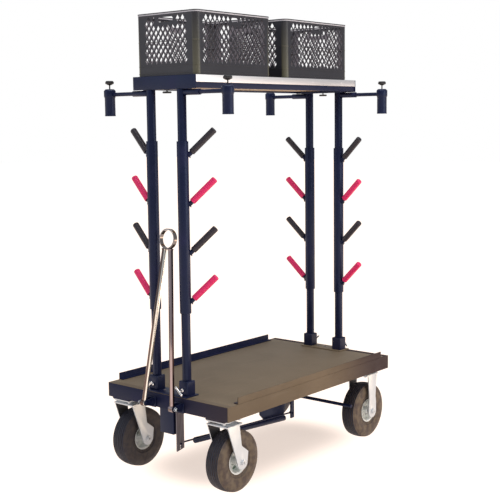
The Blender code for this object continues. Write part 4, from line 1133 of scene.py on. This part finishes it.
def rim_shape():
    """A pressed rim with a dished web, hub tube and web bolts, about the X axis at the origin."""
    half = rim_width / 2
    hub = hub_width / 2
    r, h = rim_radius, hub_radius
    bore = axle_radius + 0.0012
    profile = [
        (r + 0.0048, half), (r + 0.003, half - 0.002), (r, half - 0.0055), (r - 0.0002, 0.0),
        (r, -half + 0.0055), (r + 0.003, -half + 0.002), (r + 0.0048, -half), (r + 0.002, -half - 0.0004),
        (r - 0.0025, -half + 0.004), (r - 0.004, -0.006), (r - 0.01, -0.0026), (h + 0.012, 0.003),
        (h + 0.002, 0.006), (h, 0.0075), (h, -hub), (bore, -hub), (bore, hub), (h, hub), (h, 0.011),
        (h + 0.002, 0.009), (h + 0.012, 0.006), (r - 0.01, 0.0004), (r - 0.004, -0.002),
        (r - 0.0025, half - 0.004), (r + 0.002, half + 0.0004), (r + 0.0048, half),
    ]
    shell = spun("rim", profile, ORIGIN, ACROSS, 64, 35)
    bolts = []
    for i in range(web_bolt_count):
        turn = 2 * math.pi * i / web_bolt_count + 0.3
        spot = Vector((0.0, math.cos(turn), math.sin(turn))) * web_bolt_circle
        for way in (-1, 1):
            seat = spot + Vector((way * 0.003 + 0.002, 0.0, 0.0))
            bolts.append(hex_bolt("web_bolt", seat, (way, 0, 0), 0.0042, 0.0036, 0.0058, 0.001))
    reach = (h + 0.0018, h + 0.012, r - 0.01, r - 0.006)
    webs = []
    for lift in ((0.0057, 0.0027, -0.0029, -0.0042), (0.0093, 0.0063, 0.0007, -0.0006)):
        webs.append(spun("web", list(zip(reach, lift)), ORIGIN, ACROSS, 64, 35))
    valve = bar("valve", (0.012, 0.0, r - 0.006), (0.03, 0.0, r - 0.012), 0.0026, 16)
    return joined("rim", shell, valve), joined("web", *webs), joined("web_bolts", *bolts)


def wheels():
    tyre = tyre_shape()
    rim, web, bolts = rim_shape()
    for corner, (side, _) in CORNERS.items():
        centre = pivot(corner + "_wheel_roll")
        body = corner + "_wheel"
        # The left wheels take the less brown rubber as painted shade.
        compound = shaded_rubber if side < 0 else rubber
        done(copy_of(tyre, corner + "_ribbed_tyre", centre), compound, body, "tyre_rubber", corner + "_tyre")
        done(copy_of(rim, corner + "_pressed_rim", centre), rim_colour, body, "rim_paint", corner + "_rim")
        done(copy_of(web, corner + "_dished_web", centre), web_colour, body, "rim_paint")
        done(copy_of(bolts, corner + "_rim_bolts", centre), zinc, body, "bright_zinc")
    removed(tyre, rim, web, bolts)


# Studio
def seen(nodes):
    """1 for what the camera sees, straight, in a mirror or through glass."""
    camera_ray = nodes.node("ShaderNodeLightPath", output="Is Camera Ray")
    glossy = nodes.node("ShaderNodeLightPath", output="Is Glossy Ray")
    through = nodes.node("ShaderNodeLightPath", output="Is Transmission Ray")
    return camera_ray.at_least(glossy).at_least(through)


def floor():
    """A pale floor that glows for the camera, least under the cart, where the shadow is partly painted."""
    deselect()
    bpy.ops.mesh.primitive_plane_add(size=60.0, location=ORIGIN)
    piece = named("studio_floor")
    sheet = bpy.data.materials.new("studio_floor")
    nodes = Nodes(sheet)
    nodes.tree.nodes.clear()
    matt = nodes.node("ShaderNodeBsdfDiffuse", None, {"Color": (0.88, 0.8, 0.755)})
    glow = nodes.node("ShaderNodeEmission", None, {"Color": (1.0, 0.855, 0.765), "Strength": 1.42})
    # Less glow near the cart: a painted beige shadow.
    beside = (nodes.spot("X").absolute() - 0.02).at_least(0.0)
    beyond = (nodes.spot("Y").absolute() - 0.28).at_least(0.0)
    far = nodes.between(beside * beside + beyond * beyond, 0.0, 0.11)
    share = seen(nodes) * (0.46 + far * 0.46)
    mixed = nodes.node("ShaderNodeMixShader", None, {0: share, 1: matt, 2: glow})
    nodes.node("ShaderNodeOutputMaterial", None, {"Surface": mixed})
    piece.data.materials.append(sheet)


def world():
    """White for the camera, and a dimmer grey room for every other ray."""
    sky = bpy.data.worlds.new("studio")
    bpy.context.scene.world = sky
    nodes = Nodes(sky)
    nodes.tree.nodes.clear()
    room = nodes.node("ShaderNodeBackground", None, {"Color": (0.8, 0.81, 0.84), "Strength": 0.55})
    white = nodes.node("ShaderNodeBackground", None, {"Color": (1.0, 1.0, 1.0), "Strength": 1.0})
    camera_ray = nodes.node("ShaderNodeLightPath", output="Is Camera Ray")
    mixed = nodes.node("ShaderNodeMixShader", None, {0: camera_ray, 1: room, 2: white})
    nodes.node("ShaderNodeOutputWorld", None, {"Surface": mixed})


def lamp(name, place, target, size, power, colour=(1.0, 1.0, 1.0)):
    deselect()
    bpy.ops.object.light_add(type="AREA", location=place)
    light = bpy.context.object
    light.name = name
    light.data.shape = "RECTANGLE"
    light.data.size, light.data.size_y = size
    light.data.energy = power
    light.data.color = colour
    light.rotation_euler = toward(Vector(place) - Vector(target))


def lights():
    lamp("overhead", (0.5, -0.4, 4.4), (0.0, 0.0, 0.8), (3.2, 3.2), 86.0)
    lamp("front_left", (-2.4, -3.6, 2.4), (0.0, 0.0, 0.9), (1.8, 2.4), 14.0, (0.84, 0.9, 1.0))
    lamp("right_side", (4.2, 0.6, 1.9), (0.0, 0.0, 1.0), (2.2, 2.4), 46.0)
    lamp("low_card", (2.3, 0.9, 0.3), (0.0, 0.2, 0.22), (3.0, 0.5), 15.0, (1.0, 0.74, 0.5))


def camera():
    """The camera's place, turn and lens that match the photograph."""
    azimuth, pitch, roll = math.radians(39.81), math.radians(7.007), math.radians(-0.66)
    flat = math.cos(pitch)
    back = Vector((math.sin(azimuth) * flat, -math.cos(azimuth) * flat, math.sin(pitch)))
    level = Vector((math.cos(azimuth), math.sin(azimuth), 0.0))
    up = back.cross(level)
    right = math.cos(roll) * level + math.sin(roll) * up
    top = math.cos(roll) * up - math.sin(roll) * level
    data = bpy.data.cameras.new("photo_camera")
    data.sensor_width = 36.0
    data.lens = 75.44
    eye = bpy.data.objects.new("photo_camera", data)
    turn = Matrix((right, top, back)).transposed().to_4x4()
    eye.matrix_world = Matrix.Translation((3.0392, -3.6723 + middle_y, 1.5269)) @ turn
    bpy.context.scene.collection.objects.link(eye)
    bpy.context.scene.camera = eye


camera()
deck()
for end in ENDS:
    post_frame(end)
for corner in CORNERS:
    hanger(corner)
    clamp(corner)
    arm(corner)
    receiver(corner)
    wing_knob(corner)
    fork(corner)
shelf()
crates()
tow_bar()
brake()
wheels()
floor()
world()
lights()
bpy.context.scene.view_settings.view_transform = "Standard"
